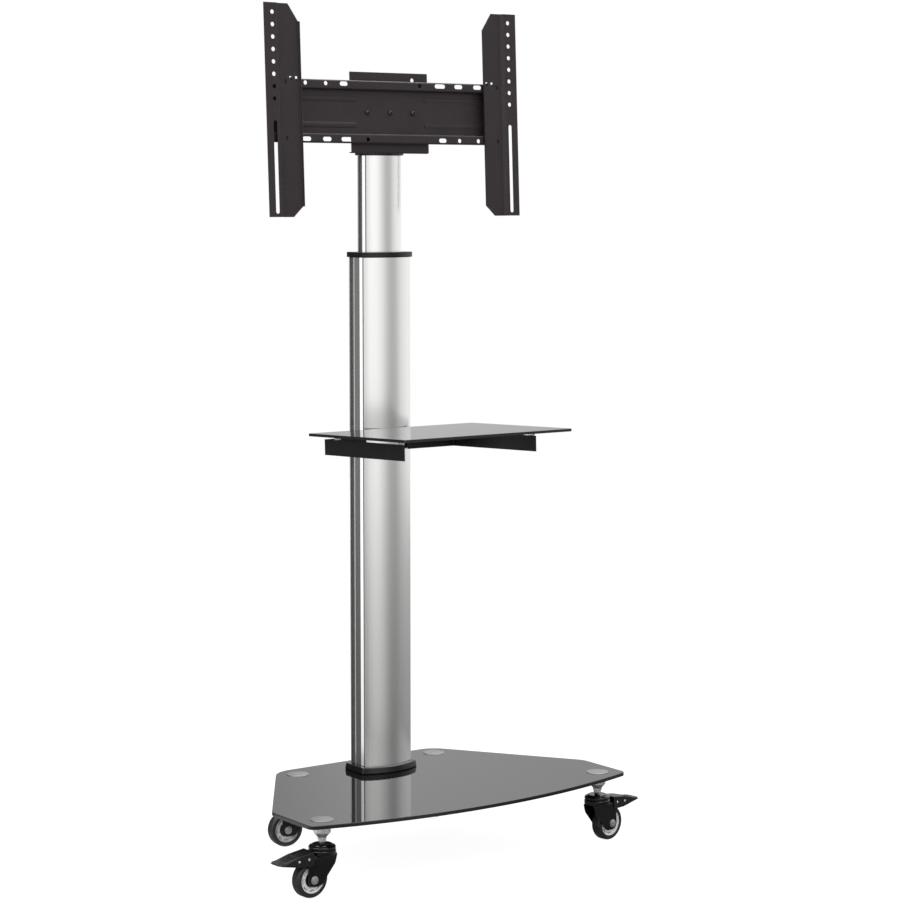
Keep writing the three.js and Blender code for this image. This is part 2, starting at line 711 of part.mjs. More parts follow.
// One bent sheet: an arm under the glass, a plate across to the column, a flange along its side,
// an ear behind, and a tab that hooks in front of the column's corner
function makeShelfBracket(name, side) {
  const armOuter = shelfArmSpread * half + armSheet * half;
  const crossBack = shelfArmRear + armSheet;
  const sheetBody = upright(bentSheet([
    [armOuter, shelfArmFront], [armOuter, crossBack], [flangeX, crossBack], [flangeX, earNear],
    [flangeX + clampEar, earNear]], armSheet), shelfArmBottom, shelfArmTop);
  const tab = block([flangeX - armSheet - clampTabReach, shelfArmRear, shelfArmBottom],
    [flangeX, crossBack, shelfArmBottom + clampTabHeight]);
  const boltHole = crossRod(clampBoltHole, earNear - overrun, earNear + armSheet + overrun)
    .translate(clampBoltX, 0, clampMiddle);
  return piece(name, cut(joined(sheetBody, tab), boltHole).scale(side, 1, 1), finish.blackSteel);
}

// The bar behind the column and the two bolts that draw it to the brackets' ears
function makeClamp() {
  const holes = [-1, 1].map((side) =>
    crossRod(clampBoltHole, barNear - overrun, barNear + clampBar + overrun)
      .translate(side * clampBoltX, 0, clampMiddle));
  const bar = block([-clampBarReach, barNear, shelfArmBottom],
    [clampBarReach, barNear + clampBar, shelfArmTop]);
  const headFace = earNear - seatGap;
  const bolts = [-1, 1].map((side) => {
    const bolt = joined(
      crossRod(clampBoltHeadRadius, headFace - clampBoltHead, headFace),
      crossRod(clampBoltRadius, headFace - overrun, barNear + clampBar + clampBoltTail));
    return piece(side < 0 ? 'shelf_clamp_bolt_left' : 'shelf_clamp_bolt_right',
      bolt.translate(side * clampBoltX, 0, clampMiddle), finish.zinc);
  });
  return gathered(piece('shelf_clamp_bar', cut(bar, ...holes), finish.blackSteel), ...bolts);
}

function makeShelf() {
  const outline = allRounded(rectangle(shelfWidth * half, shelfDepth * half), shelfRadius)
    .map(([x, y]) => [x, y - shelfDepth * half]);
  const padBottom = shelfArmTop + seatGap;
  const pads = [-1, 1].flatMap((side) => ['rear', 'front'].map((end) => {
    const y = end === 'rear' ? shelfArmRear - padFromRear : shelfArmFront + padFromFront;
    return piece(`shelf_pad_${side < 0 ? 'left' : 'right'}_${end}`,
      rod(padRadius, padBottom, padBottom + padHeight).translate(side * shelfArmSpread * half, y, 0),
      finish.clearRubber);
  }));
  const shelf = gathered(piece('shelf_glass', upright(outline, -shelfGlass, 0), finish.blackGlass),
    makeShelfBracket('shelf_bracket_left', -1), makeShelfBracket('shelf_bracket_right', 1),
    makeClamp(), ...pads);
  shelf.position.set(0, columnY - lowerRear - shelfBehindGap, glassTop + shelfAboveGlass);
  shelf.rotation.x = -shelfRake;
  return shelf;
}

// Casters: their frame stands on the floor, with Z up the swivel axis and +X along the trail
const frontCasterX = baseWidth * half - frontCasterFromSide;
const frontCasterY = frontCasterFromFront - rearEdge;
const rearCasterX = baseRearWidth * half - rearCasterFromCorner;
const rearCasterY = rearEdge - rearCasterFromRear;
const casterPlaces = [
  { name: 'front_left', x: -frontCasterX, y: frontCasterY, yaw: 183, braked: true },
  { name: 'front_right', x: frontCasterX, y: frontCasterY, yaw: 8, braked: true },
  { name: 'rear_left', x: -rearCasterX, y: rearCasterY, yaw: 173, braked: false },
  { name: 'rear_right', x: rearCasterX, y: rearCasterY, yaw: 54, braked: false },
];

// The stud with its disc on top of the glass, and the nut that clamps the glass from below
const discRadius = 24;
const discHeight = 1.5;
const studEnd = 92;
const nutFlangeRadius = 17.5;
const nutFlange = 17;
const nutCone = 10;
const nutNeckRadius = 9;
const nutHex = 4;
const nutAcrossFlats = 17;
const nutCollar = 5;
const nutCollarRadius = 8;
const hexSides = 6;

// The swivel head, a stack of turned steps, and the fork below it
const headBottom = 84;
const headRadius = 28;
const headThickness = 9;
const headNeck = 2;
const headNeckRadius = 26;
const headCap = 6;
const headCapRadius = 27.5;
const headCrown = 3.5;
const headCrownRadius = 22;
const headBoreDepth = 16;
const forkSheet = 2.5;
const forkClearance = 2;
const forkBack = 26;
const forkFront = 13;
const forkBrow = 20;
const forkBrowHeight = 76;
const forkTop = 86;
const forkBackTop = 82;
const forkBackKnee = 21;
const forkBackKneeHeight = 65;
const forkFrontKnee = 60;
const forkEye = 14;
const forkToe = 17;
const forkBackRadius = 6;
const bridgeBottom = 77.5;
const bridgeFront = 5;

// The wheel
const tyreShoulder = 6;
const tyreInner = 28;
const rimFaceInset = 1.5;
const rimDishRadius = 20;
const rimDish = 3.5;
const hubRadius = 9;
const wheelSides = 24;
const axleRadius = 4;
const axleHeadRadius = 8;
const axleHead = 4;

// The brake pedal
const pinFromAxle = 14;
const pinHeight = 82;
const pinRadius = 2.6;
const cheekSheet = 2;
const pedalSheet = 3;
const pedalRear = 32;
const pedalRearHeight = 93;
const pedalKnee = 70;
const pedalKneeHeight = 88;
const pedalFoot = 100;
const pedalFootHeight = 80;
const pedalTip = 117;
const pedalTipHeight = 78.5;
const pedalCheekBack = 34;
const pedalCheekBottom = 68;
const pedalCheekBend = 66;
const pedalCheekBendHeight = 69;
const pedalCheekToe = 110;
const pedalCheekToeHeight = 78;
const pedalCheekRadius = 6;
const tieFromPin = 23.7;
const tieDrop = 1;

const forkInner = wheelWidth * half + forkClearance;
const forkOuter = forkInner + forkSheet;
const pinX = casterTrail + pinFromAxle;

function makeCasterBolt(name) {
  const faceZ = glassTop + seatGap;
  return piece(`caster_bolt_${name}`, turned([
    [0, studEnd], [studRadius, studEnd], [studRadius, faceZ], [discRadius, faceZ],
    [discRadius, faceZ + discHeight], [0, faceZ + discHeight],
  ]), finish.greyPlastic);
}

function makeCasterNut(name) {
  const top = baseGlassHeight - seatGap;
  const coneTop = top - nutFlange;
  const hexTop = coneTop - nutCone;
  const collarUp = hexTop - nutHex;
  const bottom = collarUp - nutCollar;
  const body = turned([
    [0, bottom], [nutCollarRadius, bottom], [nutCollarRadius, hexTop], [nutNeckRadius, hexTop],
    [nutFlangeRadius, coneTop], [nutFlangeRadius, top], [0, top],
  ]);
  const hexRadius = nutAcrossFlats * half / Math.cos(Math.PI / hexSides);
  const hex = upright(circle(0, 0, hexRadius, hexSides), collarUp, hexTop + trimEdge);
  const bore = rod(studRadius + seatGap, bottom - overrun, top + overrun);
  return piece(`caster_nut_${name}`, cut(joined(body, hex), bore), finish.zinc);
}

function makeFork(name) {
  const steps = [
    [headRadius, headThickness], [headNeckRadius, headNeck], [headCapRadius, headCap],
    [headCrownRadius, headCrown],
  ];
  const profile = [[0, headBottom]];
  steps.forEach(([radius, height]) => {
    const z = profile.at(-1)[1];
    profile.push([radius, z], [radius, z + height]);
  });
  const headTop = profile.at(-1)[1];
  profile.push([0, headTop]);
  const axleX = casterTrail;
  const legBottom = wheelRadius - forkEye;
  const brow = axleX + forkBrow;
  const legOutline = rounded([
    [-forkBack, forkTop], [-forkBack, forkBackTop], [-forkBackKnee, forkBackKneeHeight],
    [axleX - forkToe, legBottom], [axleX + forkEye, legBottom], [axleX + forkFront, forkFrontKnee],
    [brow, forkBrowHeight], [brow, forkTop],
  ], [0, forkBackRadius, forkEye, forkEye, forkEye]);
  const legs = [-1, 1].map((side) => {
    const faces = [side * forkInner, side * forkOuter];
    return lengthways(legOutline, Math.min(...faces), Math.max(...faces));
  });
  const bridgeEnd = axleX + bridgeFront;
  const bridge = block([-forkBack, -forkOuter, bridgeBottom], [bridgeEnd, forkOuter, forkTop]);
  const span = forkOuter + overrun;
  const holes = [
    crossRod(axleRadius + seatGap, -span, span).translate(axleX, 0, wheelRadius),
    crossRod(pinRadius + seatGap, -span, span).translate(pinX, 0, pinHeight),
    rod(studRadius + seatGap, headTop - headBoreDepth, headTop + overrun),
  ];
  return piece(`caster_fork_${name}`, cut(joined(turned(profile), bridge, ...legs), ...holes),
    finish.blackPlastic);
}

function makeWheel(name) {
  const w = wheelWidth * half;
  const shoulder = (side) => [0, 1, 2].map((i) => {
    const turn = (Math.PI * half * i) / 2;
    return [wheelRadius - tyreShoulder * (1 - Math.sin(turn)),
      side * (w - tyreShoulder * (1 - Math.cos(turn)))];
  });
  const tyre = ring([[tyreInner, -w], ...shoulder(-1), ...shoulder(1).reverse(), [tyreInner, w]], wheelSides);
  const [bore, face] = [axleRadius + seatGap, w - rimFaceInset];
  const rimSide = (side) => [
    [bore, side * w], [hubRadius, side * w], [rimDishRadius, side * (face - rimDish)],
    [tyreInner - seatGap, side * face],
  ];
  const rim = ring([...rimSide(-1), ...rimSide(1).reverse()], wheelSides);
  const placed = (geometry) => geometry.rotateX(Math.PI * half).translate(casterTrail, 0, wheelRadius);
  return gathered(piece(`caster_tyre_${name}`, placed(tyre), finish.rubber),
    piece(`caster_rim_${name}`, placed(rim), finish.zinc));
}

function makeAxle(name) {
  const face = forkOuter + seatGap;
  const end = face + axleHead;
  const axle = joined(crossRod(axleRadius, -end, end), crossRod(axleHeadRadius, -end, -face, hexSides),
    crossRod(axleHeadRadius, face, end, hexSides));
  return piece(`caster_axle_${name}`, axle.translate(casterTrail, 0, wheelRadius), finish.zinc);
}

// A foot lever that slopes down to its tip, with two cheeks outside the fork, a hinge pin and a tie pin
function makePedal(name) {
  const inner = forkOuter + seatGap;
  const outer = inner + cheekSheet;
  const underside = [
    [pedalRear, pedalRearHeight], [pedalKnee, pedalKneeHeight], [pedalFoot, pedalFootHeight],
    [pedalTip, pedalTipHeight]];
  const top = lengthways(bentSheet(underside, pedalSheet), -outer, outer);
  const cheekTop = bentSheet(underside, pedalSheet * half).slice(underside.length);
  const cheekShape = rounded([
    [pedalCheekBack, pedalCheekBottom], [pedalCheekBend, pedalCheekBendHeight],
    [pedalCheekToe, pedalCheekToeHeight], ...cheekTop,
  ], [pedalCheekRadius, pedalCheekRadius]);
  const cheeks = [-1, 1].map((side) => {
    const faces = [side * inner, side * outer];
    return lengthways(cheekShape, Math.min(...faces), Math.max(...faces));
  });
  const pins = [[pinX, pinHeight], [pinX + tieFromPin, pinHeight - tieDrop]].map(([x, z]) =>
    crossRod(pinRadius, -inner - cheekSheet * half, inner + cheekSheet * half).translate(x, 0, z));
  return piece(`brake_pedal_${name}`, joined(top, ...cheeks, ...pins), finish.blackPlastic);
}

function makeCaster({ name, x, y, yaw, braked }) {
  const caster = gathered(makeCasterBolt(name), makeCasterNut(name), makeFork(name), makeWheel(name),
    makeAxle(name));
  if (braked) caster.add(makePedal(name));
  caster.position.set(x, y, 0);
  caster.rotation.z = THREE.MathUtils.degToRad(yaw);
  return caster;
}

export default gathered(makeBaseGlass(casterPlaces), ...casterPlaces.map(makeCaster), makeFoot(),
  makeColumn(), makeBracket(), makeShelf());
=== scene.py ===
import math

import bpy
from mathutils import Matrix, Vector


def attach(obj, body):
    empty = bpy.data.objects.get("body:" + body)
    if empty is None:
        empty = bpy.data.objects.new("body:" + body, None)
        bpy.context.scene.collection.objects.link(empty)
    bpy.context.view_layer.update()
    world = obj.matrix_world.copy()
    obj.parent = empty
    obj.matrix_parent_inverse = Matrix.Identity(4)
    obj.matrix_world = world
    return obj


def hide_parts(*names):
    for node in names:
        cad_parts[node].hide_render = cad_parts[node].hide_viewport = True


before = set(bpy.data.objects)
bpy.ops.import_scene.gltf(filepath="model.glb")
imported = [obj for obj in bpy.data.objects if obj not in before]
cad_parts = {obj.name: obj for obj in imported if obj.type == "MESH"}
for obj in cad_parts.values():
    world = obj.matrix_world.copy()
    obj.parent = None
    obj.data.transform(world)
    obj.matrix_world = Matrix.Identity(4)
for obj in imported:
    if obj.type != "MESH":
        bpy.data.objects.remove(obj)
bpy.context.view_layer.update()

# Base glass
# One plate of black tempered glass with a bowed front edge and clipped rear corners. Its edges are
# ground and polished, and it is drilled for the casters' studs and the four bolts under the column.
mm = 0.001
overrun = 2
noise_low, noise_high, noise_detail = 0.3, 0.7, 4
base_half_width = 405
base_half_rear = 205
base_rear = 253.5
base_bend = -47.5
base_corner = -190.5
base_bow = 63
base_bottom = 145
base_top = 153
base_front_radius = 16
base_bend_radius = 40
base_rear_radius = 60
base_polish = 1.1
stud_hole = 6.6
foot_bolt_hole = 4.6
foot_bolt_places = [(-36, 139.5), (36, 139.5), (-36, 165.5), (36, 165.5)]
caster_places = {
    "front_left": (-355, -155.5, 183),
    "front_right": (355, -155.5, 8),
    "rear_left": (-180, 206.5, 173),
    "rear_right": (180, 206.5, 54),
}
lying = {
    "X": Matrix(((0, 0, 1, 0), (1, 0, 0, 0), (0, 1, 0, 0), (0, 0, 0, 1))),
    "Y": Matrix(((1, 0, 0, 0), (0, 0, -1, 0), (0, 1, 0, 0), (0, 0, 0, 1))),
    "Z": Matrix.Identity(4),
}


def only(*pieces):
    """Selects these pieces and nothing else; the first is the active one."""
    bpy.ops.object.select_all(action="DESELECT")
    for piece in pieces:
        piece.select_set(True)
    bpy.context.view_layer.objects.active = pieces[0]


def place(piece, matrix):
    """Puts a piece in place and leaves the place in its mesh."""
    piece.matrix_world = matrix @ piece.matrix_world
    only(piece)
    bpy.ops.object.transform_apply(location=True, rotation=True, scale=True)
    return piece


def outwards():
    """Turns all faces of the mesh that is edited outwards, and ends the edit."""
    bpy.ops.mesh.select_all(action="SELECT")
    bpy.ops.mesh.normals_make_consistent(inside=False)
    bpy.ops.object.mode_set(mode="OBJECT")


def plate(name, corners, low, high, along="Z"):
    """A flat face with these corners, extruded from low to high along Z, X or Y."""
    if along == "Y":
        low, high = -high, -low
    bpy.ops.object.select_all(action="DESELECT")
    bpy.ops.mesh.primitive_circle_add(vertices=len(corners), radius=mm, fill_type="NGON")
    piece = bpy.context.object
    piece.name = name
    for vertex, (across, up) in zip(piece.data.vertices, corners):
        vertex.co = (across * mm, up * mm, low * mm)
    bpy.ops.object.mode_set(mode="EDIT")
    bpy.ops.mesh.extrude_region_move(TRANSFORM_OT_translate={"value": (0, 0, (high - low) * mm)})
    outwards()
    return place(piece, lying[along])


def rounded(points, radii, steps=6):
    """An outline whose corners are turned into arcs, each of its own radius; zero stays sharp."""
    if not isinstance(radii, list):
        radii = [radii] * len(points)
    outline = []
    for i, (point, radius) in enumerate(zip(points, radii)):
        here = Vector(point)
        if not radius:
            outline.append(tuple(here))
            continue
        back = (Vector(points[i - 1]) - here).normalized()
        ahead = (Vector(points[(i + 1) % len(points)]) - here).normalized()
        half_opening = back.angle(ahead) / 2
        reach = radius / math.tan(half_opening)
        middle = here + (back + ahead).normalized() * radius / math.sin(half_opening)
        start = here + back * reach - middle
        end = here + ahead * reach - middle
        sweep = math.atan2(start.x * end.y - start.y * end.x, start.dot(end))
        for step in range(steps + 1):
            outline.append(tuple(middle + Matrix.Rotation(sweep * step / steps, 2) @ start))
    return outline


def bulged(half_width, chord, bulge, steps):
    """An arc over a chord that lies along X, bulging towards the front."""
    radius = (half_width ** 2 + bulge ** 2) / (2 * bulge)
    spread = math.asin(half_width / radius)
    turns = [spread * (2 * step / steps - 1) for step in range(steps + 1)]
    return [(radius * math.sin(t), chord + radius - bulge - radius * math.cos(t)) for t in turns]


def circle(x, y, radius, sides=24):
    turns = [math.tau * side / sides for side in range(sides)]
    return [(x + radius * math.cos(turn), y + radius * math.sin(turn)) for turn in turns]


def rod(x, y, radius, low, high, along="Z", sides=24):
    """A round rod, or a hexagonal one with six sides, to add or to cut with."""
    return plate("rod", circle(x, y, radius, sides), low, high, along)


def shaped(piece, tool, operation):
    """Cuts, joins or trims a piece with a tool, and takes the tool away."""
    change = piece.modifiers.new(operation, "BOOLEAN")
    change.operation = operation
    change.solver = "EXACT"
    change.object = tool
    only(piece)
    bpy.ops.object.modifier_apply(modifier=change.name)
    bpy.data.objects.remove(tool)
    return piece


def cut(piece, *tools):
    only(*tools)
    if len(tools) > 1:
        bpy.ops.object.join()
    return shaped(piece, tools[0], "DIFFERENCE")


def soften(piece, width, segments=2, angle=35, shading=50):
    """Rounds the sharp edges and shades the piece smooth, with the flats kept flat."""
    bevel = piece.modifiers.new("edges", "BEVEL")
    bevel.width = width * mm
    bevel.segments = segments
    bevel.limit_method = "ANGLE"
    bevel.angle_limit = math.radians(angle)
    bevel.use_clamp_overlap = False
    flats = piece.modifiers.new("flats", "WEIGHTED_NORMAL")
    flats.keep_sharp = True
    only(piece)
    bpy.ops.object.modifier_apply(modifier=bevel.name)
    bpy.ops.object.shade_smooth_by_angle(angle=math.radians(shading))
    bpy.ops.object.modifier_apply(modifier=flats.name)
    return piece


def node(tree, kind, sockets=None, **settings):
    """Adds a node. Each socket gets a value or a link, from a socket or from a node's first output."""
    added = tree.nodes.new(kind)
    for setting, value in settings.items():
        setattr(added, setting, value)
    for socket, value in (sockets or {}).items():
        if isinstance(value, bpy.types.Node):
            value = value.outputs[0]
        if isinstance(value, bpy.types.NodeSocket):
            tree.links.new(value, added.inputs[socket])
        else:
            added.inputs[socket].default_value = value
    return added


def new_finish(name, colour, roughness, metallic=0, ior=1.5, specular=0.5):
    """A finish with its even values on the shader itself."""
    finish = bpy.data.materials.new(name)
    finish.use_nodes = True
    inputs = finish.node_tree.nodes["Principled BSDF"].inputs
    inputs["Base Color"].default_value = (*colour, 1)
    inputs["Roughness"].default_value = roughness
    inputs["Metallic"].default_value = metallic
    inputs["IOR"].default_value = ior
    inputs["Specular IOR Level"].default_value = specular
    return finish


def pattern(tree, scale, stretch):
    """A noise that lies on the object's own coordinates."""
    own = node(tree, "ShaderNodeTexCoord").outputs["Object"]
    mapping = node(tree, "ShaderNodeMapping", {"Vector": own, "Scale": stretch})
    return node(tree, "ShaderNodeTexNoise", {"Vector": mapping, "Scale": scale, "Detail": noise_detail})


def vary(finish, scale, low, high, stretch=(1, 1, 1)):
    """Lets a pattern move the roughness between two limits."""
    tree = finish.node_tree
    limits = node(tree, "ShaderNodeMapRange", {
        "Value": pattern(tree, scale, stretch), "From Min": noise_low, "From Max": noise_high,
        "To Min": low, "To Max": high})
    tree.links.new(limits.outputs[0], tree.nodes["Principled BSDF"].inputs["Roughness"])


def tint(finish, scale, dark, light, low=0.35, high=0.65, stretch=(1, 1, 1)):
    """Lets a pattern move the colour between two shades."""
    tree = finish.node_tree
    ramp = node(tree, "ShaderNodeValToRGB", {"Fac": pattern(tree, scale, stretch)})
    for stop, position, shade in zip(ramp.color_ramp.elements, (low, high), (dark, light)):
        stop.position, stop.color = position, (*shade, 1)
    tree.links.new(ramp.outputs[0], tree.nodes["Principled BSDF"].inputs["Base Color"])


def emboss(finish, scale, depth, stretch=(1, 1, 1)):
    """Lets a pattern stand out from the surface by a depth in millimetres."""
    tree = finish.node_tree
    bump = node(tree, "ShaderNodeBump", {"Distance": depth * mm, "Height": pattern(tree, scale, stretch)})
    tree.links.new(bump.outputs[0], tree.nodes["Principled BSDF"].inputs["Normal"])


def dressed(piece, finish, body, slot_name, *solids):
    """Gives a piece its finish and its body, and hides the solids that it stands for; the slot name is not
    used.
    """
    piece.data.materials.clear()
    piece.data.materials.append(finish)
    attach(piece, body)
    if solids:
        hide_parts(*solids)


black_glass = new_finish("black_glass", (0.006, 0.007, 0.007), 0.03, ior=1.52)
vary(black_glass, 9, 0.015, 0.05)
tint(black_glass, 4, (0.005, 0.006, 0.006), (0.009, 0.010, 0.010))

front = bulged(base_half_width, base_corner, base_bow, 30)
base_outline = front + [
    (base_half_width, base_bend), (base_half_rear, base_rear),
    (-base_half_rear, base_rear), (-base_half_width, base_bend),
]
front_radii = [base_front_radius] + [0] * (len(front) - 2) + [base_front_radius]
base_radii = front_radii + [base_bend_radius, base_rear_radius, base_rear_radius, base_bend_radius]
base_plate = plate("base_glass_plate", rounded(base_outline, base_radii, 12), base_bottom, base_top)
stud_holes = [
    rod(x, y, stud_hole, base_bottom - overrun, base_top + overrun)
    for x, y, yaw in caster_places.values()
]
bolt_holes = [
    rod(x, y, foot_bolt_hole, base_bottom - overrun, base_top + overrun)
    for x, y in foot_bolt_places
]
cut(base_plate, *stud_holes, *bolt_holes)
soften(base_plate, base_polish, 3)
dressed(base_plate, black_glass, "base", "black_glass", "base_glass")

# Caster studs
# Steel studs, each with a thin brushed disc that lies on the glass and a thread that goes down into
# the swivel head. The disc's edge is rounded over, and the thread shows below the nut.
disc_bottom = 153.3
disc_top = 154
disc_radius = 24
disc_edge = 0.4
stud_radius = 6
stud_bottom = 92
thread_root = 5.5
thread_pitch = 1.5
thread_turns = 12
thread_lead = 1


def turned(name, profile, sides=48):
    """A closed profile of radii and heights, spun round the Z axis."""
    bpy.ops.object.select_all(action="DESELECT")
    bpy.ops.mesh.primitive_circle_add(vertices=len(profile), radius=mm, fill_type="NOTHING")
    piece = bpy.context.object
    piece.name = name
    for vertex, (radius, height) in zip(piece.data.vertices, profile):
        vertex.co = (radius * mm, 0, height * mm)
    bpy.ops.object.mode_set(mode="EDIT")
    bpy.ops.mesh.spin(steps=sides, angle=math.tau, center=(0, 0, 0), axis=(0, 0, 1))
    bpy.ops.mesh.select_all(action="SELECT")
    bpy.ops.mesh.remove_doubles(threshold=mm * 0.002)
    bpy.ops.mesh.delete_loose(use_verts=True, use_edges=True, use_faces=False)
    outwards()
    return piece


def smooth(piece, angle=40):
    only(piece)
    bpy.ops.object.shade_smooth_by_angle(angle=math.radians(angle))
    return piece


def copied(piece, name, matrix):
    """A copy with its own mesh, put in place."""
    twin = piece.copy()
    twin.data = piece.data.copy()
    twin.name = name
    bpy.context.scene.collection.objects.link(twin)
    return place(twin, matrix)


def moved(x, y, z):
    return Matrix.Translation((x * mm, y * mm, z * mm))


def repeated(spots, *kinds):
    """Copies patterns to named spots. A kind is a pattern, its finish, name, body, slot and solid."""
    for spot, there in spots.items():
        for shape, finish, name, body, slot_name, *solids in kinds:
            piece = copied(shape, f"{name}_{spot}", there)
            dressed(piece, finish, body.format(spot), slot_name, *[f"{solid}_{spot}" for solid in solids])
    for shape, *words in kinds:
        bpy.data.objects.remove(shape)


caster_spots = {
    corner: moved(x, y, 0) @ Matrix.Rotation(math.radians(yaw), 4, "Z")
    for corner, (x, y, yaw) in caster_places.items()
}
disc_metal = new_finish("disc_metal", (0.33, 0.33, 0.33), 0.3, metallic=1)
vary(disc_metal, 40, 0.28, 0.33, (1, 12, 1))
tint(disc_metal, 60, (0.32, 0.32, 0.32), (0.34, 0.34, 0.34), stretch=(1, 10, 1))

thread = []
for turn_number in range(thread_turns):
    thread_z = stud_bottom + thread_lead + turn_number * thread_pitch
    thread += [(stud_radius, thread_z), (thread_root, thread_z + thread_pitch / 2)]
stud_profile = [(0, stud_bottom), (thread_root, stud_bottom)] + thread
thread_end = stud_bottom + 2 * thread_lead + thread_turns * thread_pitch
stud_profile += [(stud_radius, thread_end), (stud_radius, disc_bottom)]
stud_profile += rounded(
    [(disc_radius, disc_bottom), (disc_radius, disc_top), (0, disc_top)], [0, disc_edge, 0], 4)
stud_pattern = smooth(turned("stud_pattern", stud_profile))
repeated(caster_spots, (stud_pattern, disc_metal, "caster_stud", "base", "disc_metal", "caster_bolt"))

# Caster nuts
# Bright zinc-plated nuts that clamp the glass from below: a deep round flange, a cone under it, a low
# hexagon for the spanner and a round collar.
nut_top = 144.7
nut_flange = 17.5
nut_flange_bottom = 127.7
nut_neck = 9
nut_hex_top = 117.7
nut_hex_bottom = 113.7
nut_bottom = 108.7
nut_collar = 8
nut_bore = 6.3
nut_across_flats = 17
nut_radii = [0, 0.8, 0, 0, 2, 1.2, 0]
hexagon_overlap = 1
hexagon_gap = 0.6


def welded(piece, *tools):
    for tool in tools:
        shaped(piece, tool, "UNION")
    return piece


zinc = new_finish("zinc", (0.72, 0.73, 0.74), 0.3, metallic=0.72)
tint(zinc, 260, (0.62, 0.63, 0.64), (0.80, 0.81, 0.82))
vary(zinc, 120, 0.2, 0.38)
emboss(zinc, 700, 0.015)

nut_profile = rounded([
    (nut_bore, nut_bottom), (nut_collar, nut_bottom), (nut_collar, nut_hex_top),
    (nut_neck, nut_hex_top), (nut_flange, nut_flange_bottom), (nut_flange, nut_top), (nut_bore, nut_top),
], nut_radii, 3)
nut_pattern = turned("nut_pattern", nut_profile)
hex_radius = nut_across_flats / math.sqrt(3)
hexagon = rod(0, 0, hex_radius, nut_hex_bottom, nut_hex_top + hexagon_overlap, sides=6)
cut(hexagon, rod(0, 0, nut_bore + hexagon_gap, nut_hex_bottom - overrun, nut_hex_top + overrun))
welded(nut_pattern, hexagon)
soften(nut_pattern, 0.4)
repeated(caster_spots, (nut_pattern, zinc, "caster_nut_turned", "base", "zinc", "caster_nut"))

# Caster forks
# Glossy black forks: a stack of pressed rings holds the swivel bearing, and a sheet bent over the
# wheel runs down to the axle on both sides. The rings and the bent sheet are pressed together.
trail = 31
wheel_radius = 37.5
fork_outer = 16.5
fork_sheet = 2.5
fork_top = 86
fork_bend = 4
ring_profile = [
    (0, 84), (28, 84), (28, 93), (26, 93.6), (26, 94.6), (27.5, 95), (27.5, 101), (21.5, 102.4),
    (20, 104.5), (0, 104.5),
]
ring_radii = [0, 1.5, 2.4, 0, 0, 1.2, 3.6, 1, 1.2, 0]
leg_outline = [
    (-26, 88), (-26, 82), (-21, 65), (14, 23.5), (45, 23.5), (44, 60), (51, 76), (51, 88)]
leg_radii = [0, 8, 16, 14, 14, 10, 3, 0]
pin_place = (45, 82)
axle_hole = 4.3
pin_hole = 2.9
fork_span = (-30, 55)
leg_reach = 20
stud_socket = (88.5, 108)


def bent(points, thickness, inside=1.5):
    """The outline of a bent sheet: one face follows the points, the thickness lies to their left."""
    radii = [0]
    for before, here, after in zip(points, points[1:], points[2:]):
        along = Vector(here) - Vector(before)
        onward = Vector(after) - Vector(here)
        turns_left = along.x * onward.y - along.y * onward.x > 0
        radii.append(inside + thickness if turns_left else inside)
    path = [Vector(point) for point in rounded(points, radii + [0], 5)]
    sides = [(b - a).normalized() for a, b in zip(path, path[1:])]
    normals = [Vector((-side.y, side.x)) for side in sides]
    far = []
    for i, point in enumerate(path):
        mitre = normals[max(i - 1, 0)] + normals[min(i, len(normals) - 1)]
        far.append(tuple(point + mitre * (2 * thickness / mitre.length_squared)))
    return [tuple(point) for point in path] + far[::-1]


gloss_black = new_finish("gloss_black", (0.004, 0.004, 0.004), 0.12, specular=0.35)
vary(gloss_black, 60, 0.09, 0.16)
tint(gloss_black, 25, (0.003, 0.003, 0.003), (0.006, 0.006, 0.006))
emboss(gloss_black, 500, 0.006)

fork_path = [
    (fork_outer, leg_reach), (fork_outer, fork_top), (-fork_outer, fork_top), (-fork_outer, leg_reach)]
fork_pattern = plate("fork_pattern", bent(fork_path, fork_sheet, fork_bend), *fork_span, "X")
legs = plate("legs", rounded(leg_outline, leg_radii, 10), -leg_reach, leg_reach, "Y")
shaped(fork_pattern, legs, "INTERSECT")
welded(fork_pattern, turned("rings", rounded(ring_profile, ring_radii, 5), 64))
cut(
    fork_pattern,
    rod(trail, wheel_radius, axle_hole, -leg_reach, leg_reach, "Y"),
    rod(*pin_place, pin_hole, -leg_reach, leg_reach, "Y"),
    rod(0, 0, nut_bore, *stud_socket),
)
soften(fork_pattern, 0.4)
repeated(caster_spots, (
    fork_pattern, gloss_black, "caster_fork_pressed", "caster_{}", "black_plastic", "caster_fork"))

# Caster wheels
# A grey-black rubber tyre with two fine tread grooves, on a light grey ring with slots, round a
# black hub. The three are moulded one over the other and turn together.
tyre_half = 12
tyre_inner = 28
tyre_shoulder = 5.5
tread_groove = 3.8
tread_mouth = 0.5
tread_floor = 0.3
tread_depth = 0.6
rim_outer = 27.7
rim_inner = 15.4
hub_outer = 15.1
wheel_bore = 4.3
slot_count = 8
slot_inner = 21.6
slot_outer = 24
slot_half_turn = math.radians(15)
slot_steps = 6

rubber = new_finish("rubber", (0.011, 0.011, 0.011), 0.5)
tint(rubber, 90, (0.007, 0.007, 0.007), (0.017, 0.017, 0.017))
vary(rubber, 60, 0.36, 0.6)
emboss(rubber, 900, 0.08)
rim_grey = new_finish("rim_grey", (0.93, 0.93, 0.92), 0.36, metallic=0.05)
tint(rim_grey, 110, (0.90, 0.90, 0.89), (0.96, 0.96, 0.95))
emboss(rim_grey, 600, 0.03)

